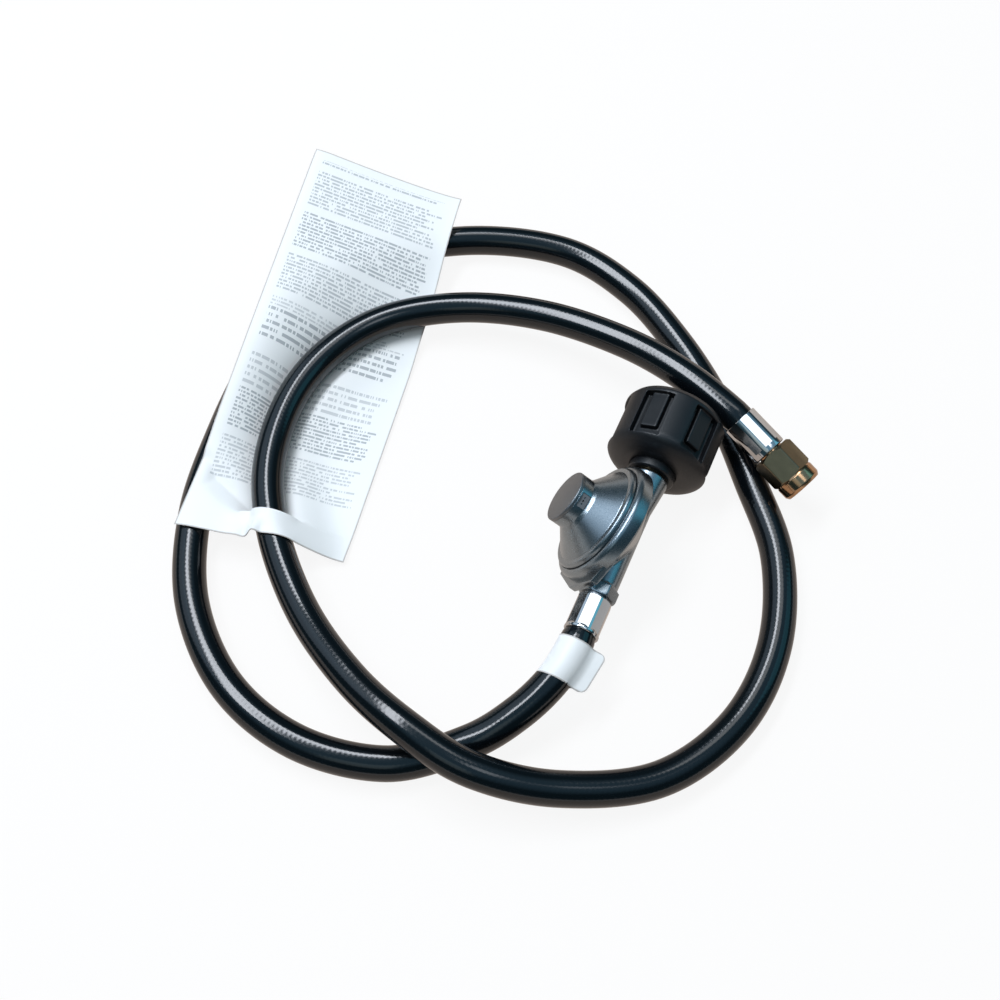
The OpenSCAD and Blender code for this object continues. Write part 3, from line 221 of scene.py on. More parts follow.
def new_material(name, **values):
    """A material with its shader's plain values set; returns its tree and its shader."""
    made = bpy.data.materials.new(name)
    made.use_nodes = True
    shader = made.node_tree.nodes["Principled BSDF"]
    for key, value in values.items():
        shader.inputs[key.replace("_", " ")].default_value = value
    return made.node_tree, shader


def per_mm(size):
    """Texture scale at which one feature is that many millimetres wide, on coordinates in metres."""
    return 1.0 / (size * MM)


def clear_selection():
    if bpy.context.object and bpy.context.object.mode != "OBJECT":
        bpy.ops.object.mode_set(mode="OBJECT")
    bpy.ops.object.select_all(action="DESELECT")


def choose(*pieces):
    """Selects these pieces alone, the first one active."""
    clear_selection()
    for piece in pieces:
        piece.select_set(True)
    bpy.context.view_layer.objects.active = pieces[0]


def apply_modifier(piece, kind, **settings):
    choose(piece)
    change = piece.modifiers.new(kind.title(), kind)
    for name, value in settings.items():
        setattr(change, name, value)
    bpy.ops.object.modifier_apply(modifier=change.name)


def combine(piece, tool, operation):
    """Adds, cuts or keeps by another solid, which is then removed."""
    apply_modifier(piece, "BOOLEAN", operation=operation, solver="EXACT", object=tool)
    bpy.data.objects.remove(tool, do_unlink=True)


def put(piece, matrix):
    """Moves a piece and leaves its place in its mesh."""
    choose(piece)
    piece.matrix_world = matrix @ piece.matrix_world
    bpy.ops.object.transform_apply(location=True, rotation=True, scale=True)
    return piece


def rounded(corners, steps=4):
    """Profile through corners of (radius, height, rounding), with each rounding drawn as an arc."""
    shared, alone = 0.49, 0.98
    drawn = []
    for k, corner in enumerate(corners):
        point = Vector(corner[:2])
        if len(corner) < 3 or k in (0, len(corners) - 1):
            drawn.append(tuple(point))
            continue
        back = Vector(corners[k - 1][:2]) - point
        ahead = Vector(corners[k + 1][:2]) - point
        half = back.angle(ahead) / 2
        room = [shared if len(corners[i]) > 2 else alone for i in (k - 1, k + 1)]
        reach = min(corner[2] / math.tan(half), room[0] * back.length, room[1] * ahead.length)
        middle = (back.normalized() + ahead.normalized()).normalized()
        centre = point + middle * reach / math.cos(half)
        first = point + back.normalized() * reach - centre
        last = point + ahead.normalized() * reach - centre
        turn = first.angle(last)
        for i in range(steps + 1):
            arm = first * math.sin((1 - i / steps) * turn) + last * math.sin(i / steps * turn)
            drawn.append(tuple(centre + arm / math.sin(turn)))
    return drawn


def seal():
    """Merges doubled points of the mesh in edit mode, turns its faces outwards and leaves edit mode."""
    bpy.ops.mesh.select_all(action="SELECT")
    bpy.ops.mesh.remove_doubles(threshold=MERGE)
    bpy.ops.mesh.normals_make_consistent(inside=False)
    bpy.ops.object.mode_set(mode="OBJECT")


def turned(profile, steps):
    """Spins a profile of (radius, height) in millimetres about Z; a closed profile makes a ring."""
    clear_selection()
    bpy.ops.mesh.primitive_plane_add(size=MM)
    piece = bpy.context.object
    bpy.ops.object.mode_set(mode="EDIT")
    bpy.ops.mesh.select_mode(type="VERT")
    bpy.ops.mesh.merge(type="CENTER")
    bpy.ops.transform.translate(value=(profile[0][0] * MM, 0, profile[0][1] * MM))
    for here, there in zip(profile, profile[1:]):
        move = ((there[0] - here[0]) * MM, 0, (there[1] - here[1]) * MM)
        bpy.ops.mesh.extrude_vertices_move(TRANSFORM_OT_translate={"value": move})
    bpy.ops.mesh.select_all(action="SELECT")
    bpy.ops.mesh.spin(steps=steps, angle=2 * math.pi, center=(0, 0, 0), axis=(0, 0, 1))
    seal()
    return piece


def rod(radius, low, high, steps):
    """A round rod about Z between two heights."""
    return turned([(0, low), (radius, low), (radius, high), (0, high)], steps)


def prism(sides, flat, low, high, turn=0.0, bevel=0.0):
    """A prism with that distance across its flats, its long edges bevelled."""
    clear_selection()
    bpy.ops.mesh.primitive_cylinder_add(
        vertices=sides,
        radius=flat / 2 / math.cos(math.pi / sides) * MM,
        depth=(high - low) * MM,
        location=(0, 0, (low + high) / 2 * MM),
    )
    piece = bpy.context.object
    bpy.ops.object.transform_apply(location=True)
    if bevel:
        bpy.ops.object.mode_set(mode="EDIT")
        bpy.ops.mesh.select_mode(type="EDGE")
        bpy.ops.mesh.select_all(action="DESELECT")
        bpy.ops.object.mode_set(mode="OBJECT")
        points = piece.data.vertices
        for edge in piece.data.edges:
            a, b = (points[v].co for v in edge.vertices)
            edge.select = abs(a.z - b.z) > MM
        bpy.ops.object.mode_set(mode="EDIT")
        bpy.ops.mesh.bevel(offset=bevel * MM, segments=3)
        bpy.ops.object.mode_set(mode="OBJECT")
    return put(piece, Matrix.Rotation(turn, 4, "Z"))


def block(low, high, bevel=0.0):
    """A box between two corners in millimetres, with rounded edges."""
    clear_selection()
    low, high = Vector(low), Vector(high)
    bpy.ops.mesh.primitive_cube_add(size=1, location=(low + high) / 2 * MM, scale=(high - low) * MM)
    piece = bpy.context.object
    bpy.ops.object.transform_apply(location=True, rotation=True, scale=True)
    if bevel:
        bpy.ops.object.mode_set(mode="EDIT")
        bpy.ops.mesh.select_all(action="SELECT")
        bpy.ops.mesh.bevel(offset=bevel * MM, segments=3)
        bpy.ops.object.mode_set(mode="OBJECT")
    return piece


def soften(piece, grid, passes):
    """Draws the skin anew on an even grid and rounds its corners, as a mould or die leaves them."""
    choose(piece)
    piece.data.remesh_voxel_size = grid
    bpy.ops.object.voxel_remesh()
    apply_modifier(piece, "SMOOTH", factor=0.5, iterations=passes)


def bordered(tree, place, size, tone, edge):
    """A colour with a thin line of painted shade along the four edges of a flat sheet of that size."""
    shaded, unshaded = 0.3 * MM, 0.8 * MM
    across, along = place.outputs["X"], place.outputs["Y"]
    from_right = add_node(tree, "Math", {0: size[0], 1: across}, operation="SUBTRACT")
    from_head = add_node(tree, "Math", {0: size[1], 1: along}, operation="SUBTRACT")
    nearest = across
    for gap in (from_right, along, from_head):
        nearest = add_node(tree, "Math", {0: nearest, 1: gap}, operation="MINIMUM")
    # Painted shade: the edge grey is mixed in up to 0.7 at the edges and fades out inwards
    border = add_node(
        tree,
        "MapRange",
        {"Value": nearest, "From Min": shaded, "From Max": unshaded, "To Min": 0.7, "To Max": 0.0},
    )
    return add_node(tree, "Mix", {0: border, 6: tone, 7: edge}, data_type="RGBA")


def mottled(tree, cloud, tone, low, high):
    """A colour that a cloud makes darker and paler, between two shares of its own value."""
    shade = add_node(tree, "MapRange", {"Value": cloud, "To Min": low, "To Max": high})
    return add_node(tree, "HueSaturation", {"Color": tone, "Value": shade})


def dress(piece, *finishes):
    """Gives a piece its finishes, the first one on every face so far."""
    for finish in finishes:
        piece.data.materials.append(bpy.data.materials[finish])


def settle(piece, name, body, nodes, angle=35):
    """Names a piece, shades it and ties it to its body."""
    piece.name = name
    piece.data.name = name
    choose(piece)
    bpy.ops.object.shade_smooth_by_angle(angle=math.radians(angle))
    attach(piece, body)
    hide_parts(*nodes)
    return piece


def skin(name, points, faces, uvs=None):
    """A mesh object from points in metres, with its own UV map if one is given."""
    mesh = bpy.data.meshes.new(name)
    mesh.from_pydata(points, [], faces)
    if uvs is not None:
        layer = mesh.uv_layers.new(name="surface")
        for loop in mesh.loops:
            layer.data[loop.index].uv = uvs[loop.vertex_index]
    mesh.update()
    piece = bpy.data.objects.new(name, mesh)
    bpy.context.scene.collection.objects.link(piece)
    return piece


def route():
    """The points that the hose is laid through, in millimetres."""
    along = FLARE.to_3x3() @ Vector((0, 0, 1))
    grip = AXIS.y - HOSE_START
    start = [Vector((AXIS.x, y, AXIS.z)) for y in (grip, grip - GRIPPED)]
    laid = [Vector((x, y, HOSE_R + lift * CROSSING)) for x, y, lift in LAID]
    return start + laid + [FLARE_START, FLARE_START + along * FAR_GRIPPED]


def span(points, k, t):
    """A point of the smooth curve between two route points, never below the floor."""
    a, b, c, d = (np.array(points[i]) for i in range(k - 1, k + 3))
    here = 0.5 * (2 * b + (c - a) * t + (2 * a - 5 * b + 4 * c - d) * t * t + (3 * b - a - 3 * c + d) * t**3)
    here[2] = max(here[2], HOSE_R)
    return here


def stretch(first, last, steps):
    """The curve from one route point to another as rows of points."""
    points = route()
    rows = [span(points, k, i / steps) for k in range(first, last) for i in range(steps)]
    return np.array(rows)


def hose_line(spacing):
    """The middle of the whole hose at an even spacing, with its arc length, in millimetres."""
    points = route()
    rows = np.vstack([[points[0]], stretch(1, len(points) - 2, CURVE_STEPS), [points[-2]], [points[-1]]])
    arc = np.concatenate([[0], np.cumsum(np.linalg.norm(np.diff(rows, axis=0), axis=1))])
    even = np.linspace(0, arc[-1], int(arc[-1] / spacing) + 1)
    return np.column_stack([np.interp(even, arc, rows[:, k]) for k in range(3)]), even


def cross_frames(line):
    """Sideways and upward directions at each point of a line."""
    heading = np.gradient(line, axis=0)
    heading /= np.linalg.norm(heading, axis=1)[:, None]
    sideways = np.cross(heading, (0, 0, 1))
    sideways /= np.linalg.norm(sideways, axis=1)[:, None]
    return sideways, np.cross(sideways, heading)


def from_turn(places, line):
    """Plan distance of each place from a turn of the hose, positive outside it, and the turn's height."""
    a, d = line[:-1, :2], np.diff(line[:, :2], axis=0)
    gap = places[:, None, :] - a[None]
    t = np.clip((gap * d).sum(2) / (d * d).sum(1), 0, 1)
    away = np.linalg.norm(gap - t[:, :, None] * d, axis=2)
    k = away.argmin(1)
    rows = np.arange(len(places))
    side = d[k, 0] * gap[rows, k, 1] - d[k, 1] * gap[rows, k, 0]
    height = line[k, 2] + t[rows, k] * (line[k + 1, 2] - line[k, 2])
    return np.where(side > 0, away[rows, k], -away[rows, k]), height


def share(x, start, end):
    return np.clip((x - start) / (end - start), 0, 1)


def cast_zinc_finishes(look):
    # Bare die-cast zinc: a blue-grey metal skin with a soft gloss, slightly mottled, with a fine grain
    tree, shader = new_material("die_cast_zinc", Metallic=1.0, Roughness=0.3)
    place = add_node(tree, "TexCoord").outputs["Object"]
    cloud = add_node(tree, "TexNoise", {"Vector": place, "Scale": per_mm(7), "Detail": 4.0})
    grain = add_node(tree, "TexNoise", {"Vector": place, "Scale": per_mm(0.7), "Detail": 3.0})
    tint = mottled(tree, cloud, look.zinc, 0.86, 1.1)
    rough = add_node(tree, "MapRange", {"Value": grain, "To Min": 0.22, "To Max": 0.36})
    bump = add_node(tree, "Bump", {"Height": grain, "Strength": 0.08, "Distance": 0.08 * MM})
    fill(tree, shader, {"Base Color": tint, "Roughness": rough, "Normal": bump})

    # Dull face of the cap: darker, greyer and less glossy than the casting, in soft patches
    tree, shader = new_material("dull_cap_zinc", Metallic=1.0, Roughness=0.42)
    place = add_node(tree, "TexCoord").outputs["Object"]
    cloud = add_node(tree, "TexNoise", {"Vector": place, "Scale": per_mm(5), "Detail": 4.0})
    tint = mottled(tree, cloud, look.cap, 0.9, 1.1)
    rough = add_node(tree, "MapRange", {"Value": cloud, "To Min": 0.34, "To Max": 0.5})
    fill(tree, shader, {"Base Color": tint, "Roughness": rough})


def hose_finish(look, sizes):
    # Black extruded hose skin: glossy, with low ribs where the braid below presses through
    strands = 10
    rib_height = 0.004 * MM
    tree, shader = new_material("black_hose_skin", Anisotropic=0.2, Specular_IOR_Level=0.5)
    place = add_node(tree, "UVMap", uv_map="surface").outputs["UV"]
    parts = add_node(tree, "SeparateXYZ", {"Vector": place}).outputs
    wave = 2 * math.pi / sizes.rib_pitch
    along = add_node(tree, "Math", {0: parts["X"], 1: wave}, operation="MULTIPLY")
    around = add_node(tree, "Math", {0: parts["Y"], 1: 2 * math.pi * strands}, operation="MULTIPLY")
    waves = []
    for operation in ("ADD", "SUBTRACT"):
        slant = add_node(tree, "Math", {0: along, 1: around}, operation=operation)
        waves.append(add_node(tree, "Math", {0: slant}, operation="SINE"))
    braid = add_node(tree, "Math", {0: waves[0], 1: waves[1]}, operation="ADD")
    bump = add_node(tree, "Bump", {"Height": braid, "Strength": 0.8, "Distance": rib_height})
    # The map is in metres along the hose and in turns round it, so these scuffs are streaks along it
    scuffs = 60.0
    scuff = add_node(tree, "TexNoise", {"Vector": place, "Scale": scuffs, "Detail": 3.0})
    rough = add_node(tree, "MapRange", {"Value": scuff, "To Min": 0.13, "To Max": 0.18})
    drawn = add_node(tree, "Tangent", direction_type="UV_MAP", uv_map="surface")
    fill(tree, shader, {"Base Color": look.hose, "Roughness": rough, "Normal": bump, "Tangent": drawn})


def nylon_finish(look):
    # Black glass-filled nylon, moulded with a fine spark-eroded grain: a satin blue-grey sheen
    tree, shader = new_material("black_moulded_nylon", Roughness=0.4, Specular_IOR_Level=0.45)
    place = add_node(tree, "TexCoord").outputs["Object"]
    grain = add_node(tree, "TexNoise", {"Vector": place, "Scale": per_mm(0.5), "Detail": 2.0})
    cloud = add_node(tree, "TexNoise", {"Vector": place, "Scale": per_mm(9), "Detail": 3.0})
    rough = add_node(tree, "MapRange", {"Value": cloud, "To Min": 0.34, "To Max": 0.5})
    bump = add_node(tree, "Bump", {"Height": grain, "Strength": 0.2, "Distance": 0.06 * MM})
    fill(tree, shader, {"Base Color": look.wheel, "Roughness": rough, "Normal": bump})


def plated_and_brass_finishes(look):
    # Chrome plate on drawn steel: mirror-bright with faint dulling from handling
    tree, shader = new_material("chrome_plate", Metallic=1.0, Roughness=0.1)
    place = add_node(tree, "TexCoord").outputs["Object"]
    film = add_node(tree, "TexNoise", {"Vector": place, "Scale": per_mm(4), "Detail": 4.0})
    rough = add_node(tree, "MapRange", {"Value": film, "To Min": 0.06, "To Max": 0.18})
    fill(tree, shader, {"Base Color": look.chrome, "Roughness": rough})

    # Milled brass, slightly tarnished to olive, and the same brass turned and polished
    for name, tone, low, high in (
        ("milled_brass", look.brass, 0.24, 0.38),
        ("turned_brass", look.turned_brass, 0.12, 0.22),
    ):
        tree, shader = new_material(name, Metallic=1.0, Roughness=low)
        place = add_node(tree, "TexCoord").outputs["Object"]
        stain = add_node(tree, "TexNoise", {"Vector": place, "Scale": per_mm(5), "Detail": 5.0})
        tint = mottled(tree, stain, tone, 0.82, 1.12)
        rough = add_node(tree, "MapRange", {"Value": stain, "To Min": high, "To Max": low})
        fill(tree, shader, {"Base Color": tint, "Roughness": rough})


def printed_rows(tree, parts):
    """Share of ink on the tag: rows of bars in blocks, with one band of larger rows."""
    foot, head, margin = 26.0 * MM, 203.5 * MM, 5.5 * MM
    shortest, longest = 48.0 * MM, 70.8 * MM
    large_from, large_to = 74.0 * MM, 118.0 * MM
    small_pitch, large_pitch = 1.9, 3.6
    small_share, large_share = 0.54, 0.46
    small_bars, large_bars = 4.0, 6.5
    block_rows, blank_rows = 13.0, 1.5
    left_out = 0.3
    faint, dark = 0.34, 0.62
    across, along = parts.outputs["X"], parts.outputs["Y"]

    above = add_node(tree, "Math", {0: along, 1: large_from}, operation="GREATER_THAN")
    below = add_node(tree, "Math", {0: along, 1: large_to}, operation="LESS_THAN")
    large = add_node(tree, "Math", {0: above, 1: below}, operation="MULTIPLY")
    pitch = {"Value": large, "To Min": per_mm(small_pitch), "To Max": per_mm(large_pitch)}
    fine = add_node(tree, "MapRange", pitch)
    row = add_node(tree, "Math", {0: along, 1: fine}, operation="MULTIPLY")
    row_at = add_node(tree, "Math", {0: row}, operation="FRACT")
    row_number = add_node(tree, "Math", {0: row}, operation="FLOOR")
    tall = add_node(tree, "MapRange", {"Value": large, "To Min": small_share, "To Max": large_share})
    inked = add_node(tree, "Math", {0: row_at, 1: tall}, operation="LESS_THAN")

    # Rows stand in blocks with blank rows between them, and each block has its own weight
    in_block = add_node(tree, "Math", {0: row_number, 1: block_rows}, operation="MODULO")
    not_blank = add_node(tree, "Math", {0: in_block, 1: blank_rows}, operation="GREATER_THAN")
    block_at = add_node(tree, "Math", {0: row_number, 1: block_rows}, operation="DIVIDE")
    block_number = add_node(tree, "Math", {0: block_at}, operation="FLOOR")
    dense = add_node(tree, "TexWhiteNoise", {"W": block_number}, noise_dimensions="1D")
    weight = add_node(tree, "MapRange", {"Value": dense, "To Min": faint, "To Max": dark})

    # Each row ends at its own place, mostly near the right margin
    draw = add_node(tree, "TexWhiteNoise", {"W": row_number}, noise_dimensions="1D")
    last = add_node(tree, "Math", {0: draw, 1: 0.2}, operation="POWER")
    reach = add_node(tree, "MapRange", {"Value": last, "To Min": shortest, "To Max": longest})
    inside = add_node(tree, "Math", {0: across, 1: reach}, operation="LESS_THAN")
    past_margin = add_node(tree, "Math", {0: across, 1: margin}, operation="GREATER_THAN")
    past_foot = add_node(tree, "Math", {0: along, 1: foot}, operation="GREATER_THAN")
    before_head = add_node(tree, "Math", {0: along, 1: head}, operation="LESS_THAN")

    # A draw for each short bar leaves some of them out
    bar = add_node(tree, "Math", {0: across, 1: fine}, operation="MULTIPLY")
    finer = add_node(tree, "MapRange", {"Value": large, "To Min": small_bars, "To Max": large_bars})
    bar = add_node(tree, "Math", {0: bar, 1: finer}, operation="MULTIPLY")
    bar_number = add_node(tree, "Math", {0: bar}, operation="FLOOR")
    bar_place = add_node(tree, "CombineXYZ", {"X": bar_number, "Y": row_number})
    bar_draw = add_node(tree, "TexWhiteNoise", {"Vector": bar_place}, noise_dimensions="2D")
    kept = add_node(tree, "Math", {0: bar_draw, 1: left_out}, operation="GREATER_THAN")

    for part in (inside, past_margin, past_foot, before_head, kept, not_blank, weight):
        inked = add_node(tree, "Math", {0: inked, 1: part}, operation="MULTIPLY")
    return inked


def paper_finishes(look, sizes):
    # White coated paper with plain grey rows: each row is broken into bars of uneven length
    tree, shader = new_material("printed_paper", Roughness=0.55)
    place = add_node(tree, "UVMap", uv_map="surface").outputs["UV"]
    parts = add_node(tree, "SeparateXYZ", {"Vector": place})
    inked = printed_rows(tree, parts)
    tone = add_node(tree, "Mix", {0: inked, 6: look.paper, 7: look.ink}, data_type="RGBA")
    # A thin line of painted shade along the tag's four edges
    tone = bordered(tree, parts, (sizes.tag_width, sizes.tag_length), tone, look.paper_edge_shade)
    fibre = add_node(tree, "TexNoise", {"Vector": place, "Scale": per_mm(0.8), "Detail": 4.0})
    bump = add_node(tree, "Bump", {"Height": fibre, "Strength": 0.08, "Distance": 0.05 * MM})
    fill(tree, shader, {"Base Color": tone, "Normal": bump})

    # Cut edge of the paper: painted shade, a thin darker grey line in soft patches that sets it off from the
    # floor
    tree, shader = new_material("cut_paper_edge", Roughness=0.8)
    place = add_node(tree, "TexCoord").outputs["Object"]
    shade_patches = add_node(tree, "TexNoise", {"Vector": place, "Scale": per_mm(6), "Detail": 3.0})
    fill(tree, shader, {"Base Color": mottled(tree, shade_patches, look.paper_edge_shade, 0.8, 1.2)})

    # White label paper with a slight satin coat; its map holds the distances to its nearest edges
    beyond = (1.0, 1.0)
    tree, shader = new_material("label_paper", Roughness=0.42)
    place = add_node(tree, "TexCoord").outputs["Object"]
    fibre = add_node(tree, "TexNoise", {"Vector": place, "Scale": per_mm(0.9), "Detail": 4.0})
    rough = add_node(tree, "MapRange", {"Value": fibre, "To Min": 0.36, "To Max": 0.5})
    flat = add_node(tree, "UVMap", uv_map="surface").outputs["UV"]
    parts = add_node(tree, "SeparateXYZ", {"Vector": flat})
    # A thin line of painted shade along the label's edges
    tone = bordered(tree, parts, beyond, look.paper, look.paper_edge_shade)
    fill(tree, shader, {"Base Color": tone, "Roughness": rough})


def inner_finishes(look):
    # Small inner parts: grey nylon, drawn steel and nitrile rubber, each with a fine grain
    for name, tone, metal, low, high, grit in (
        ("grey_nylon", look.grey_nylon, 0.0, 0.4, 0.55, 0.5),
        ("drawn_steel", look.steel, 1.0, 0.18, 0.34, 0.6),
        ("nitrile_rubber", look.rubber, 0.0, 0.5, 0.7, 0.4),
    ):
        tree, shader = new_material(name, Metallic=metal, Roughness=low)
        place = add_node(tree, "TexCoord").outputs["Object"]
        grain = add_node(tree, "TexNoise", {"Vector": place, "Scale": per_mm(grit), "Detail": 3.0})
        rough = add_node(tree, "MapRange", {"Value": grain, "To Min": low, "To Max": high})
        bump = add_node(tree, "Bump", {"Height": grain, "Strength": 0.1, "Distance": 0.05 * MM})
        fill(tree, shader, {"Base Color": tone, "Roughness": rough, "Normal": bump})


class GASHOSE_OT_finishes(bpy.types.Operator):
    """Makes the finishes of all the pieces"""

    bl_idname = "gashose.finishes"
    bl_label = "Finishes"

    def execute(self, context):
        look = context.scene.gas_finishes
        sizes = context.scene.gas_hose
        cast_zinc_finishes(look)
        hose_finish(look, sizes)
        nylon_finish(look)
        plated_and_brass_finishes(look)
        paper_finishes(look, sizes)
        inner_finishes(look)
        return {"FINISHED"}


def ray_masks(tree):
    """Masks of the rays that come from mirroring surfaces, and of those together with the camera's."""
    rays = add_node(tree, "LightPath").outputs
    both = {0: rays["Is Glossy Ray"], 1: rays["Is Transmission Ray"]}
    mirror = add_node(tree, "Math", both, operation="MAXIMUM")
    seen = add_node(tree, "Math", {0: rays["Is Camera Ray"], 1: mirror}, operation="MAXIMUM")
    return mirror, seen


WHITE = (1.0, 1.0, 1.0, 1.0)


def lay_floor(stage):
    """White to the eye, warm and pale to mirror rays, and a plain lit floor to all other light."""
    width, below, own_glow = 8, -0.4 * MM, 0.9
    clear_selection()
    bpy.ops.mesh.primitive_plane_add(size=width, location=(0, 0, below))
    floor = bpy.context.object
    floor.name = "floor"
    finish = bpy.data.materials.new("white_floor")
    finish.use_nodes = True
    tree = finish.node_tree
    tree.nodes.clear()
    mirror, seen = ray_masks(tree)
    amount = add_node(tree, "Math", {0: seen, 1: own_glow}, operation="MULTIPLY")
    matt = add_node(tree, "BsdfDiffuse", {"Color": linear("#f4f4f4")})
    tone = add_node(tree, "Mix", {0: mirror, 6: WHITE, 7: stage.warm_floor}, data_type="RGBA")
    glow = add_node(tree, "Emission", {"Color": tone, "Strength": 1.0})
    mixed = add_node(tree, "MixShader", {0: amount, 1: matt, 2: glow})
    add_node(tree, "OutputMaterial", {"Surface": mixed})
    floor.data.materials.append(finish)


def make_world(stage):
    """White to the eye, a dim room with a paler ceiling to mirror rays, and a faint dome to other light."""
    horizon, ceiling_edge = (0.04, 0.14), (0.62, 0.86)
    world = bpy.data.worlds.new("white_room")
    bpy.context.scene.world = world
    world.use_nodes = True
    tree = world.node_tree
    tree.nodes.clear()
    mirror, seen = ray_masks(tree)
    dome = add_node(tree, "Background", {"Color": linear("#e8eef4"), "Strength": stage.dome})
    way = add_node(tree, "TexCoord").outputs["Generated"]
    height = add_node(tree, "SeparateXYZ", {"Vector": way}).outputs["Z"]
    above, overhead = (
        add_node(tree, "MapRange", {"Value": height, "From Min": low, "From Max": high})
        for low, high in (horizon, ceiling_edge)
    )
    room = add_node(tree, "Mix", {0: overhead, 6: stage.walls, 7: stage.ceiling}, data_type="RGBA")
    dim = add_node(tree, "Math", {0: above, 1: mirror}, operation="MULTIPLY")
    mirrored = add_node(tree, "Mix", {0: dim, 6: WHITE, 7: room}, data_type="RGBA")
    white = add_node(tree, "Background", {"Color": mirrored, "Strength": 1.0})
    mixed = add_node(tree, "MixShader", {0: seen, 1: dome, 2: white})
    add_node(tree, "OutputWorld", {"Surface": mixed})


class GASHOSE_OT_stage(bpy.types.Operator):
    """Sets the camera, the pale floor, the world and the lamps"""

    bl_idname = "gashose.stage"
    bl_label = "Stage"

    def execute(self, context):
        scene = context.scene
        stage = scene.gas_stage
        scene.view_settings.view_transform = "Standard"

        target = Vector((-0.05657, -0.01175, 0.0))
        eye = Vector((0.04747, -0.24543, 0.4914))
        view = bpy.data.cameras.new("camera")
        view.lens = stage.lens
        view.sensor_width = 36
        camera = bpy.data.objects.new("camera", view)
        camera.location = eye
        camera.rotation_euler = (target - eye).to_track_quat("-Z", "Y").to_euler()
        scene.collection.objects.link(camera)
        scene.camera = camera
        lay_floor(stage)
        make_world(stage)

        for name, long, short, power, place, tone in (
            ("key_lamp", 1.15, 0.26, stage.key_power, (-0.58, 0.1, 1.25), "#f2f7ff"),
            ("window_lamp", 1.5, 0.8, stage.fill_power, (-1.25, 0.1, 1.0), "#d2e8ff"),
            ("back_lamp", 0.5, 0.3, stage.back_power, (-0.11, 0.44, 1.23), "#ffffff"),
            ("front_lamp", 0.34, 0.3, stage.front_power, (0.32, -0.09, 1.25), "#f4f9ff"),
            ("low_lamp", 0.5, 0.5, stage.low_power, (-0.01, -0.93, 1.04), "#e6f2ea"),
            ("warm_lamp", 0.6, 0.4, stage.warm_power, (0.72, 1.38, 0.3), "#ffd9ae"),
            ("side_lamp", 0.7, 0.7, stage.side_power, (0.95, 0.6, 0.85), "#5fb4cc"),
        ):
            light = bpy.data.lights.new(name, "AREA")
            light.shape = "RECTANGLE"
            light.size = long
            light.size_y = short
            light.energy = power
            light.color = linear(tone)[:3]
            lamp = bpy.data.objects.new(name, light)
            lamp.location = place
            lamp.rotation_euler = (target - Vector(place)).to_track_quat("-Z", "Y").to_euler()
            scene.collection.objects.link(lamp)
        return {"FINISHED"}


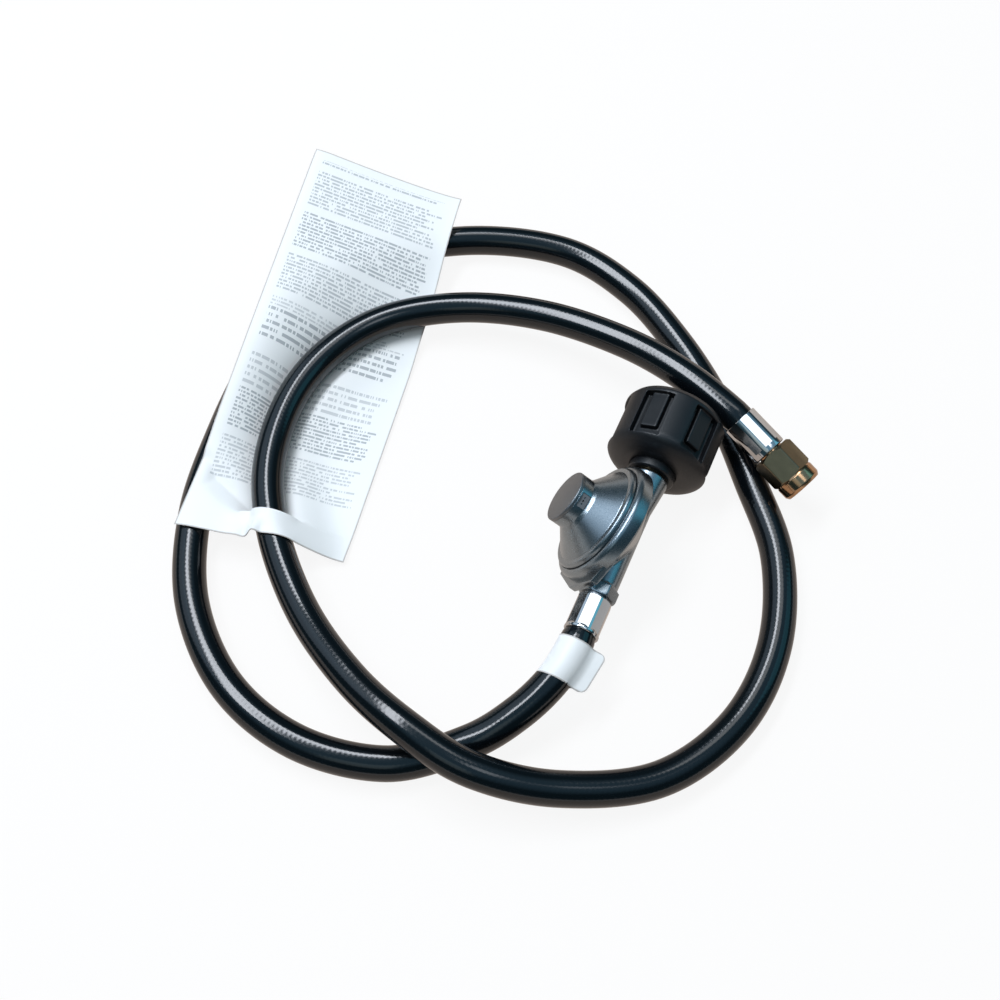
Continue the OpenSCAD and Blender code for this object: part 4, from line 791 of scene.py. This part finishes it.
class GASHOSE_OT_body(bpy.types.Operator):
    """Models the cast cup with its flange, inlet neck, outlet boss and web"""

    bl_idname = "gashose.body"
    bl_label = "Regulator body"

    def execute(self, context):
        sizes = context.scene.gas_regulator
        steps = sizes.turned_steps
        cup_r, cup_foot, cup_rim = 24.5, -3.6, 9
        pipe_r, neck_r, neck_end = 7.1, 9.2, 31.5
        hexagon_flat, hexagon_end = 14.8, 32
        cup = [(0, cup_foot), (8, cup_foot, 3), (cup_r, 5.6, 2.5), (cup_r, cup_rim), (0, cup_rim)]
        cup = turned(rounded(cup, 8), steps)
        tube = put(rod(pipe_r, -16, 16, steps), TO_INLET)
        neck = [(0, 14.4), (pipe_r, 14.4), (neck_r, neck_end, 0.8), (0, neck_end)]
        neck = put(turned(rounded(neck), steps), TO_INLET)
        boss = put(rod(pipe_r, 14, 27.3, steps), TO_OUTLET)
        nut = prism(6, hexagon_flat, 26.3, hexagon_end, turn=math.radians(30))
        combine(nut, turned([(0, 26), (8.4, 26), (8.4, 31), (7.8, 32.2), (0, 32.2)], steps), "INTERSECT")
        put(nut, TO_OUTLET)
        choose(cup, tube, neck, boss, nut, self.fan_web(cup_r))
        bpy.ops.object.join()
        body = bpy.context.object
        soften(body, sizes.cast_detail, passes=5)
        self.add_flange(body, steps)
        for radius, low, high, way in (
            (6.2, -14.4, 14.4, TO_INLET),
            (3.6, 13.4, 28.8, TO_INLET),
            (7.52, 27.8, 36, TO_INLET),
            (4.6, 13.4, 36, TO_OUTLET),
        ):
            combine(body, put(rod(radius, low, high, BORE_SIDES), way), "DIFFERENCE")
        self.add_pin_lugs(body)
        put(body, BONNET)
        dress(body, "die_cast_zinc")
        settle(body, "cast_body", "regulator", ["regulator_body"], angle=40)
        return {"FINISHED"}

    def fan_web(self, cup_r):
        """The flat web between the outlet and the cup's rim."""
        web_low, web_thick = 6.2, 3.5
        corners = ((9, -31), (18, -20.5), (cup_r, 0), (-cup_r, 0), (-25, -20.5), (-9, -31))
        clear_selection()
        bpy.ops.mesh.primitive_circle_add(vertices=len(corners), radius=cup_r * MM, fill_type="NGON")
        web = bpy.context.object
        for point, corner in zip(web.data.vertices, corners):
            point.co = Vector((corner[0], corner[1], web_low)) * MM
        bpy.ops.object.mode_set(mode="EDIT")
        bpy.ops.mesh.select_all(action="SELECT")
        bpy.ops.mesh.extrude_region_move(TRANSFORM_OT_translate={"value": (0, 0, web_thick * MM)})
        seal()
        return web

    def add_flange(self, body, steps):
        """The flange with its rolled lip, and the hollow under the bonnet."""
        flange_r, lip_r, low, top, seat = 28.5, 26, 7.4, 14.6, 13.9
        flange = [
            (0, low), (flange_r, low, 0.6), (flange_r, top, 2.4), (lip_r, top), (lip_r, seat), (0, seat),
        ]
        combine(body, turned(rounded(flange, 6), steps), "UNION")
        hollow = [
            (0, -1.3), (8, -1.3), (20.4, 5.6), (20.4, 10.2), (26.9, 10.2), (26.9, 13.7),
            (25.9, 13.7), (25.9, 24), (0, 24),
        ]
        combine(body, turned(hollow, steps), "DIFFERENCE")

    def add_pin_lugs(self, body):
        """The two lugs that hold the lever's pin."""
        apart, half_thick, pin_r = 2.95, 0.75, 0.77
        pin = Matrix.Translation(Vector((0, 10.5, -3.2)) * MM) @ Matrix.Rotation(math.radians(90), 4, "Y")
        for side in (-1, 1):
            middle = side * apart
            lug = block((middle - half_thick, 8.1, -6.2), (middle + half_thick, 12.9, -1.6), bevel=0.2)
            combine(lug, put(rod(pin_r, -8, 8, PIN_SIDES), pin), "DIFFERENCE")
            combine(body, lug, "UNION")


class GASHOSE_OT_bonnet(bpy.types.Operator):
    """Models the conical spring housing with its vent, and its cap"""

    bl_idname = "gashose.bonnet"
    bl_label = "Bonnet and cap"

    def execute(self, context):
        steps = context.scene.gas_regulator.turned_steps
        wall_r, rim_r, shoulder_r, hub_r = 20.5, 26.8, 25.6, 12.2
        hole_r, plug_r = 9.8, 9.78
        foot, hub_top, cap_low, cap_top = 11, 31.58, 31.6, 33.2
        shell = [
            (wall_r, foot), (rim_r, foot), (rim_r, 13.6), (shoulder_r, 13.6), (shoulder_r, 17.0, 1.9),
            (22.9, 17.0, 0.3), (22.7, 17.3, 0.2), (13.3, 25.1, 1.2), (hub_r, 26.6, 1.2),
            (hub_r, hub_top, 0.12), (hole_r, hub_top), (hole_r, 24.4), (wall_r, 15), (wall_r, foot),
        ]
        bonnet = turned(rounded(shell, 5), steps)
        vent = Matrix.Rotation(math.radians(-15), 4, "Z")
        vent_half, vent_low, vent_top = 3.25, 26.7, 30.9
        recess = block((11.0, -vent_half, vent_low), (15, vent_half, vent_top), bevel=0.35)
        combine(bonnet, put(recess, vent), "DIFFERENCE")
        middle = Matrix.Translation((0, 0, (vent_low + vent_top) / 2 * MM))
        outwards = vent @ middle @ Matrix.Rotation(math.radians(90), 4, "Y")
        breather = put(rod(0.9, 8, 14, PIN_SIDES), outwards)
        combine(bonnet, breather, "DIFFERENCE")
        put(bonnet, BONNET)
        dress(bonnet, "die_cast_zinc")
        settle(bonnet, "cone_bonnet", "regulator", ["bonnet"])
        lid = [
            (0, 30.4), (plug_r, 30.4), (plug_r, cap_low), (hub_r, cap_low, 0.12),
            (hub_r, cap_top, 0.55), (0, cap_top),
        ]
        cap = put(turned(rounded(lid, 5), steps), BONNET)
        dress(cap, "dull_cap_zinc")
        settle(cap, "flat_cap", "regulator", ["bonnet_cap"])
        return {"FINISHED"}


class GASHOSE_OT_wheel(bpy.types.Operator):
    """Models the moulded hand wheel with its ribs, and the bushing behind it"""

    bl_idname = "gashose.wheel"
    bl_label = "Hand wheel"

    def execute(self, context):
        sizes = context.scene.gas_regulator
        base, inner_floor, mouth = 36, 42, 67.5
        neck_r, shoulder_r, skirt_r, inner_r = 11.05, 13, 24, 17.1
        shoulder_z, shoulder_tall = 42.5, 6.5
        crest_r, root_r, thread_top, pitch = 16.7, 18.0, 66.2, 4.4
        dome = [
            (shoulder_r + (skirt_r - shoulder_r) * math.cos(a), shoulder_z + shoulder_tall * math.sin(a))
            for a in (math.radians(-90 + 7.5 * k) for k in range(13))
        ]
        thread = []
        for k in range(3):
            top = thread_top - pitch * k
            thread += [(crest_r, top), (crest_r, top - 1.3), (root_r, top - 2.0), (root_r, top - 3.6)]
        outside = [(neck_r, base)] + dome + [(skirt_r, 65.2), (22.6, mouth), (root_r, mouth)]
        inside = [(inner_r, 52.6), (inner_r, inner_floor), (neck_r, inner_floor), (neck_r, base)]
        wheel = turned(outside + thread + inside, sizes.turned_steps)
        pocket_half, pad_half = 7.1, 4.0
        apart = 2 * math.pi / sizes.wheel_ribs
        for k in range(sizes.wheel_ribs):
            turn = Matrix.Rotation(sizes.rib_lean - math.pi / 2 + apart * (k + 0.5), 4, "Z")
            pocket = block((19.5, -pocket_half, 40.8), (32, pocket_half, 63.6), bevel=0.6)
            combine(wheel, put(pocket, turn), "DIFFERENCE")
            pad = block((18.5, -pad_half, 45.4), (22.0, pad_half, 66), bevel=0.5)
            combine(wheel, put(pad, turn), "UNION")
        soften(wheel, sizes.moulded_detail, passes=3)
        put(wheel, INLET)
        dress(wheel, "black_moulded_nylon")
        settle(wheel, "hand_wheel", "wheel", ["handwheel_nut"], angle=60)

        bore_r, sleeve_r, collar_r = 7.55, 11, 14
        sleeve = [
            (bore_r, 33), (bore_r, 32.4, 0.2), (sleeve_r, 32.4, 0.8), (sleeve_r, inner_floor),
            (collar_r, inner_floor, 0.3), (collar_r, 45, 0.4), (bore_r, 45, 0.3), (bore_r, 33),
        ]
        bushing = put(turned(rounded(sleeve), BORE_SIDES), INLET)
        dress(bushing, "black_moulded_nylon")
        settle(bushing, "wheel_bushing", "wheel", ["nut_bushing"])
        return {"FINISHED"}


class GASHOSE_OT_ferrules(bpy.types.Operator):
    """Models the two crimped ferrules of the hose"""

    bl_idname = "gashose.ferrules"
    bl_label = "Ferrules"

    def execute(self, context):
        steps = context.scene.gas_regulator.turned_steps
        tail_r = 4.1

        near_r, near_lip_r, near_end, near_flat, near_at = 7.75, 7.8, 15.6, 14.7, 33.2
        near = turned(rounded([(0, 0), (near_r, 0, 0.7), (near_r, near_end, 0.2), (0, near_end)], 5), steps)
        combine(near, prism(8, near_flat, -1, 20, turn=math.radians(22.5), bevel=0.5), "INTERSECT")
        lip = [(0, 14.6), (7.4, 14.6), (near_lip_r, 15.4, 0.5), (near_lip_r, 16.8, 0.8), (0, 16.8)]
        combine(near, turned(rounded(lip), steps), "UNION")
        inside = [(0, -2), (tail_r, -2), (tail_r, 1), (6.75, 1), (6.75, 20), (0, 20)]
        combine(near, turned(inside, BORE_SIDES), "DIFFERENCE")
        put(near, OUTLET @ Matrix.Translation((0, 0, near_at * MM)))
        dress(near, "chrome_plate")
        settle(near, "near_ferrule", "regulator", ["outlet_ferrule"], angle=10)

        far_r, far_end, far_flat, crimp_turn = 8.2, 20, 15.9, math.radians(-7.7)
        far = turned(rounded([(0, 0), (far_r, 0, 0.4), (far_r, far_end, 0.8), (0, far_end)], 5), steps)
        crimp = prism(8, far_flat, -1, 17.6, turn=crimp_turn, bevel=0.6)
        rim = turned(rounded([(0, 17), (far_r, 17), (far_r, far_end, 0.8), (0, far_end)], 5), steps)
        combine(far, crimp, "INTERSECT")
        combine(far, rim, "UNION")
        inside = [(0, 21), (tail_r, 21), (tail_r, 19), (7.3, 19), (7.3, -2), (0, -2)]
        combine(far, turned(inside, BORE_SIDES), "DIFFERENCE")
        put(far, FLARE)
        dress(far, "chrome_plate")
        settle(far, "far_ferrule", "regulator", ["flare_ferrule"], angle=10)
        return {"FINISHED"}


class GASHOSE_OT_flare_nut(bpy.types.Operator):
    """Models the brass flare nut: hexagon, polished collar and thread"""

    bl_idname = "gashose.flare_nut"
    bl_label = "Flare nut"

    def execute(self, context):
        steps = context.scene.gas_regulator.turned_steps
        flat, rear, shoulder, front = 18, 20.6, 34.8, 42
        nut_turn = math.radians(35.2)
        chamfer_r, collar_r, tail_r = 10.7, 9.5, 5.55
        nut = prism(6, flat, rear, shoulder, turn=nut_turn, bevel=0.45)
        chamfer = [(0, 18.6), (7.0, 18.6), (chamfer_r, 22.3), (chamfer_r, 33.4), (8.1, 36), (0, 36)]
        combine(nut, turned(chamfer, steps), "INTERSECT")
        ring = [
            (0, 34.2), (8.7, 34.2), (collar_r, 35.7, 0.6), (collar_r, 40.4, 0.9),
            (8.5, front, 0.4), (0, front),
        ]
        collar = turned(rounded(ring, 5), steps)
        dress(collar, "milled_brass", "turned_brass")
        for face in collar.data.polygons:
            face.material_index = 1
        dress(nut, "milled_brass", "turned_brass")
        combine(nut, collar, "UNION")
        combine(nut, rod(tail_r, 20, 30, BORE_SIDES), "DIFFERENCE")
        crest_r, root_r, relief_r, pitch = 7.6, 8.25, 7.9, 1.45
        thread = [(0, 30), (relief_r, 30), (relief_r, 31)]
        for k in range(7):
            low = 31.2 + pitch * k
            thread += [(crest_r, low), (crest_r, low + 0.35), (root_r, low + 0.75), (root_r, low + 1.05)]
        thread += [(crest_r, 41.4), (8.2, front), (8.2, 44), (0, 44)]
        combine(nut, turned(thread, BORE_SIDES), "DIFFERENCE")
        put(nut, FLARE)
        settle(nut, "brass_flare_nut", "flare_end", ["flare_nut"], angle=12)
        return {"FINISHED"}


def tag_places(u, v, width, tall):
    """Places of the tag's points seen from above, between the four corners of the laid tag."""
    foot_turn, head_turn, lean = (math.radians(angle) for angle in (14.4, 9.8, 9.4))
    foot_left = np.array((-182.0, -90.0))
    foot_right = foot_left + width * np.array((math.cos(foot_turn), math.sin(foot_turn)))
    head_left = foot_left + tall * np.array((-math.sin(lean), math.cos(lean)))
    head_right = head_left + width * np.array((math.cos(head_turn), math.sin(head_turn)))
    foot = (1 - u)[..., None] * foot_left + u[..., None] * foot_right
    head = (1 - u)[..., None] * head_left + u[..., None] * head_right
    return (1 - v)[..., None] * foot + v[..., None] * head


def tag_part(rows, width, tall, on_top):
    """One part of the tag: its grid, its places, its wanted heights and the limits that the hose sets."""
    over_r, under_r = HOSE_R + TAG_GAP, HOSE_R + 0.8
    lying, lowest = 1.2, 0.4
    left_lift, head_lift = 25.0, 7.5
    climb_from, climb_to, sink, outer_rise = 0.16, 0.8, 0.22, 0.5
    crown, crown_half, outside_fall, inside_fall, joined_to = 0.7, 3, 0.75, 1.0, 0.26
    u, v = np.meshgrid(np.linspace(0, 1, TAG_COLUMNS + 1), rows)
    places = tag_places(u, v, width, tall)
    flat_places = places.reshape(-1, 2)
    outer, inner = (stretch(*ends, TURN_STEPS) for ends in (OUTER_TURN, INNER_TURN))
    from_outer, outer_z = (x.reshape(u.shape) for x in from_turn(flat_places, outer))
    from_inner, inner_z = (x.reshape(u.shape) for x in from_turn(flat_places, inner))

    # Under the inner turn and over the outer one, with a slope between them
    under, over = inner_z - HOSE_R - TAG_GAP, outer_z + HOSE_R + TAG_GAP
    between = np.clip(from_inner / np.maximum(from_inner - from_outer, 0.001), 0, 1)
    way = np.where(from_outer < 0, between, 1)
    slope = under + (over - under) * share(way, climb_from, climb_to)
    inside = np.maximum(lying, under - sink * np.maximum(-from_inner - 5, 0))
    rise = left_lift * share(v, 0.1, 1.0) ** 0.85 * (1 - u) ** 1.2
    rise = rise + head_lift * u * share(v, 0.78, 1.0)
    low = np.where(from_inner < 0, inside, slope)
    low = low + np.maximum(outer_rise * np.maximum(from_outer - 6, 0), rise)

    # The strip below the slit rides over the inner turn like a tent
    fall = np.where(from_inner > 0, outside_fall, inside_fall)
    tent = inner_z + HOSE_R + TAG_GAP + crown - fall * np.maximum(np.abs(from_inner) - crown_half, 0)
    flat = np.where(from_inner < 0, lying, over - 0.2 * np.maximum(-from_outer - 6, 0))
    ridge = np.maximum(flat, tent)

    arch = np.sqrt(np.maximum(over_r**2 - from_outer * from_outer, 0)) + outer_z + 0.2
    floor = np.where(np.abs(from_outer) < over_r, arch, lowest)
    cave = np.sqrt(np.maximum(under_r**2 - from_inner * from_inner, 0))
    near = np.abs(from_inner) < under_r
    if on_top:
        height = ridge
        floor = np.where(near, np.maximum(floor, inner_z + cave), floor)
        roof = np.full_like(height, NO_ROOF)
    else:
        joined = share(v, joined_to, SLIT_AT) * share(np.abs(from_inner), 5, SLIT_HALF)
        height = low + joined * (ridge - low)
        roof = np.where(near, inner_z - cave, NO_ROOF)
    return {
        "u": u, "v": v, "places": places, "height": height, "floor": floor, "roof": roof,
        "from_inner": from_inner,
    }


def relax_tag(parts, heights, open_slit):
    """Lets the paper's heights even out between the limits, as one sheet but for the open slit."""
    passes, pull = 60, 0.6
    for _ in range(passes):
        for k, other in ((0, heights[1][1]), (1, heights[0][-2])):
            z = heights[k]
            padded = np.pad(z, 1, mode="edge")
            edge = -1 if k == 0 else 0
            padded[edge, 1:-1] = np.where(open_slit, z[edge], other)
            mean = (padded[:-2, 1:-1] + padded[2:, 1:-1] + padded[1:-1, :-2] + padded[1:-1, 2:]) / 4
            z = z + pull * (mean - z)
            heights[k] = np.minimum(np.maximum(z, parts[k]["floor"]), parts[k]["roof"])
        level = np.where(open_slit, heights[0][-1], (heights[0][-1] + heights[1][0]) / 2)
        heights[1][0] = np.where(open_slit, heights[1][0], level)
        heights[0][-1] = level


def fold_tag(parts, heights, open_slit, width, tall):
    """Presses a slanting crease into the left side and a pinch into the foot."""
    start_x, start_y, run_x, run_y = 1, 32, 33, -20
    crease_depth, crease_half = 2.6, 8
    ridge_x, ridge_tall, ridge_half = 37, 4.0, 2.4
    groove_x, groove_deep, groove_half = 31.5, 3.0, 2.8
    for k, part in enumerate(parts):
        x, y = part["u"] * width - start_x, part["v"] * tall - start_y
        along = np.clip((x * run_x + y * run_y) / (run_x**2 + run_y**2), 0, 1)
        away = np.hypot(x - run_x * along, y - run_y * along)
        crease = -crease_depth * np.clip(1 - away / crease_half, 0, 1) ** 1.3
        x = part["u"] * width
        pinch = ridge_tall * np.exp(-(((x - ridge_x) / ridge_half) ** 2))
        pinch = pinch - groove_deep * np.exp(-(((x - groove_x) / groove_half) ** 2))
        moved = heights[k] + crease + pinch * share(part["v"], SLIT_AT, 0)
        heights[k] = np.minimum(np.maximum(moved, part["floor"]), part["roof"])
    heights[1][0] = np.where(open_slit, heights[1][0], heights[0][-1])


class GASHOSE_OT_tag(bpy.types.Operator):
    """Lays the paper tag over the outer turn of the hose and under the inner one"""

    bl_idname = "gashose.tag"
    bl_label = "Paper tag"

    def execute(self, context):
        sizes = context.scene.gas_hose
        width, tall = sizes.tag_width / MM, sizes.tag_length / MM
        strip_rows = np.linspace(0, SLIT_AT, STRIP_ROWS + 1)
        main_rows = SLIT_AT + (1 - SLIT_AT) * np.linspace(0, 1, TAG_ROWS + 1) ** 1.25
        parts = (tag_part(strip_rows, width, tall, True), tag_part(main_rows, width, tall, False))
        heights = [part["height"].copy() for part in parts]
        open_slit = np.abs(parts[1]["from_inner"][0]) < SLIT_HALF
        relax_tag(parts, heights, open_slit)
        fold_tag(parts, heights, open_slit, width, tall)

        points, uvs, faces, index = [], [], [], {}
        for k, part in enumerate(parts):
            u, v, places = part["u"], part["v"], part["places"]
            for j in range(u.shape[0]):
                for i in range(TAG_COLUMNS + 1):
                    if k == 1 and j == 0 and not open_slit[i]:
                        index[k, j, i] = index[0, STRIP_ROWS, i]
                        continue
                    index[k, j, i] = len(points)
                    points.append((places[j, i, 0] * MM, places[j, i, 1] * MM, heights[k][j, i] * MM))
                    uvs.append((u[j, i] * width * MM, v[j, i] * tall * MM))
        for k, rows in ((0, STRIP_ROWS), (1, TAG_ROWS)):
            for j in range(rows):
                for i in range(TAG_COLUMNS):
                    around = ((j, i), (j, i + 1), (j + 1, i + 1), (j + 1, i))
                    faces.append(tuple(index[(k, *corner)] for corner in around))
        tag = skin("paper_tag", points, faces, uvs)
        dress(tag, "printed_paper", "cut_paper_edge")
        apply_modifier(tag, "SOLIDIFY", thickness=sizes.tag_thickness, offset=0, material_offset_rim=1)
        settle(tag, "paper_tag", "regulator", ["instruction_tag"], angle=50)
        return {"FINISHED"}


class GASHOSE_OT_sticker(bpy.types.Operator):
    """Wraps the sticker round the hose and leaves its two ends joined as a flag"""

    bl_idname = "gashose.sticker"
    bl_label = "Sticker"

    def execute(self, context):
        sizes = context.scene.gas_hose
        start, end = GRIPPED + 3.6, GRIPPED + 23.2
        wrap_r, meet, reach, corner = 7.62, (8.4, 0.7), 13.6, 3.0
        skew, hang, half_apart = 0.1, 0.6, 0.1
        wrap_from, wrap_to, wrap_points = 60, -262, 66
        spacing = 0.5
        line, arc = hose_line(spacing)
        picked = (arc >= start) & (arc <= end)
        sideways, upward = cross_frames(line)
        line, arc, sideways, upward = line[picked], arc[picked], sideways[picked], upward[picked]
        turn = np.radians(np.linspace(wrap_from, wrap_to, wrap_points))
        loop = [(wrap_r * math.sin(a), wrap_r * math.cos(a)) for a in turn]
        half = len(line) // 2
        chord = line[-1] - line[0]
        up = upward[half]
        side = sideways[half] + skew * chord / np.linalg.norm(chord)
        points, uvs = [], []
        for k, middle in enumerate(line):
            inset = min(arc[k] - arc[0], arc[-1] - arc[k])
            cut = corner - math.sqrt(max(corner**2 - (corner - min(inset, corner)) ** 2, 0))
            root = middle - meet[0] * side + meet[1] * up
            along = (arc[k] - arc[half]) / (arc[-1] - arc[0])
            tip = line[half] + along * chord - (reach - cut) * side - hang * up
            flag = [root + (tip - root) * t for t in (0, 0.34, 0.67, 1)]
            top = [here + half_apart * up for here in reversed(flag)]
            low = [here - half_apart * up for here in flag]
            wrap = [middle - x * side + y * up for x, y in loop]
            section = top + wrap + low
            points += [tuple(here * MM) for here in section]
            steps = [float(np.linalg.norm(b - a)) for a, b in zip(section, section[1:])]
            run = np.concatenate(([0.0], np.cumsum(steps))) * MM
            uvs += [(inset * MM, min(here, run[-1] - here)) for here in run]
        count = len(section)
        faces = []
        for k in range(len(line) - 1):
            for i in range(count - 1):
                a, b = k * count + i, (k + 1) * count + i
                faces.append((a, b, b + 1, a + 1))
        sticker = skin("wrapped_sticker", points, faces, uvs)
        dress(sticker, "label_paper", "cut_paper_edge")
        thickness = sizes.sticker_thickness
        apply_modifier(sticker, "SOLIDIFY", thickness=thickness, offset=0, material_offset_rim=1)
        settle(sticker, "wrapped_sticker", "regulator", ["hose_label"], angle=50)
        return {"FINISHED"}


class GASHOSE_OT_hose(bpy.types.Operator):
    bl_idname = "gashose.hose"
    bl_label = "Hose"

    def execute(self, context):
        sizes = context.scene.gas_hose
        line, arc = hose_line(sizes.ring_spacing / MM)
        sideways, upward = cross_frames(line)
        whole = arc[-1]
        swell, near_squeeze, far_squeeze = 2.5, 0.85, 0.3
        near = share(arc, GRIPPED, GRIPPED + swell)
        far = share(whole - arc, FAR_GRIPPED, FAR_GRIPPED + swell)
        radius = sizes.diameter / MM / 2 - near_squeeze * (1 - near * near * (3 - 2 * near))
        radius -= far_squeeze * (1 - far * far * (3 - 2 * far))
        sides = sizes.sides
        points, uvs, faces = [], [], []
        rings = len(line)
        for radii in (radius, np.full(rings, sizes.bore / MM / 2)):
            for k in range(rings):
                for i in range(sides + 1):
                    a = 2 * math.pi * i / sides
                    here = line[k] + radii[k] * (math.cos(a) * upward[k] + math.sin(a) * sideways[k])
                    points.append(tuple(here * MM))
                    uvs.append((arc[k] * MM, i / sides))
        row = sides + 1
        inner = rings * row
        for k in range(rings - 1):
            for i in range(sides):
                a, b = k * row + i, (k + 1) * row + i
                faces.append((a, a + 1, b + 1, b))
                faces.append((inner + a, inner + b, inner + b + 1, inner + a + 1))
        last = (rings - 1) * row
        for i in range(sides):
            faces.append((i, inner + i, inner + i + 1, i + 1))
            faces.append((last + i, last + i + 1, inner + last + i + 1, inner + last + i))
        hose = skin("black_hose", points, faces, uvs)
        choose(hose)
        bpy.ops.object.mode_set(mode="EDIT")
        seal()
        dress(hose, "black_hose_skin")
        settle(hose, "black_hose", "regulator", ["hose"], angle=40)
        return {"FINISHED"}


class GASHOSE_OT_inner_parts(bpy.types.Operator):
    """Gives the turned and moulded inner parts their finishes"""

    bl_idname = "gashose.inner_parts"
    bl_label = "Inner parts"

    def execute(self, context):
        finishes = {
            "milled_brass": ("inlet_nipple", "inlet_orifice", "valve_lever"),
            "turned_brass": ("poppet", "poppet_retainer", "flare_tail"),
            "drawn_steel": (
                "main_spring", "diaphragm_plate", "diaphragm_stem", "lever_pin", "poppet_spring",
                "outlet_barb",
            ),
            "nitrile_rubber": ("diaphragm", "seat_disc", "nipple_seal"),
            "grey_nylon": ("spring_adjuster", "vent_screen"),
        }
        for finish, names in finishes.items():
            for name in names:
                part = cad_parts[name]
                part.data.materials.clear()
                part.data.materials.append(bpy.data.materials[finish])
        return {"FINISHED"}


class GASHOSE_PT_panel(bpy.types.Panel):
    """Lists the settings and the pieces"""

    bl_idname = "GASHOSE_PT_panel"
    bl_label = "Gas Hose"
    bl_space_type = "VIEW_3D"
    bl_region_type = "UI"
    bl_category = "Gas Hose"

    def draw(self, context):
        scene = context.scene
        for group in (scene.gas_hose, scene.gas_regulator, scene.gas_finishes, scene.gas_stage):
            box = self.layout.box()
            for name in group.bl_rna.properties.keys():
                if name not in ("rna_type", "name"):
                    box.prop(group, name)
        for operator in OPERATORS:
            self.layout.operator(operator.bl_idname)


GROUPS = {
    "gas_hose": HoseSizes,
    "gas_regulator": RegulatorSizes,
    "gas_finishes": Finishes,
    "gas_stage": StageSettings,
}
OPERATORS = (
    GASHOSE_OT_finishes,
    GASHOSE_OT_stage,
    GASHOSE_OT_body,
    GASHOSE_OT_bonnet,
    GASHOSE_OT_wheel,
    GASHOSE_OT_ferrules,
    GASHOSE_OT_flare_nut,
    GASHOSE_OT_tag,
    GASHOSE_OT_sticker,
    GASHOSE_OT_hose,
    GASHOSE_OT_inner_parts,
)


def register():
    for group in GROUPS.values():
        bpy.utils.register_class(group)
    for name, group in GROUPS.items():
        setattr(bpy.types.Scene, name, PointerProperty(type=group))
    for operator in OPERATORS:
        bpy.utils.register_class(operator)
    bpy.utils.register_class(GASHOSE_PT_panel)


def unregister():
    bpy.utils.unregister_class(GASHOSE_PT_panel)
    for operator in reversed(OPERATORS):
        bpy.utils.unregister_class(operator)
    for name, group in GROUPS.items():
        delattr(bpy.types.Scene, name)
        bpy.utils.unregister_class(group)


def main():
    register()
    bpy.ops.gashose.finishes()
    bpy.ops.gashose.stage()
    bpy.ops.gashose.body()
    bpy.ops.gashose.bonnet()
    bpy.ops.gashose.wheel()
    bpy.ops.gashose.ferrules()
    bpy.ops.gashose.flare_nut()
    bpy.ops.gashose.tag()
    bpy.ops.gashose.sticker()
    bpy.ops.gashose.hose()
    bpy.ops.gashose.inner_parts()
    clear_selection()


if __name__ == "__main__":
    main()
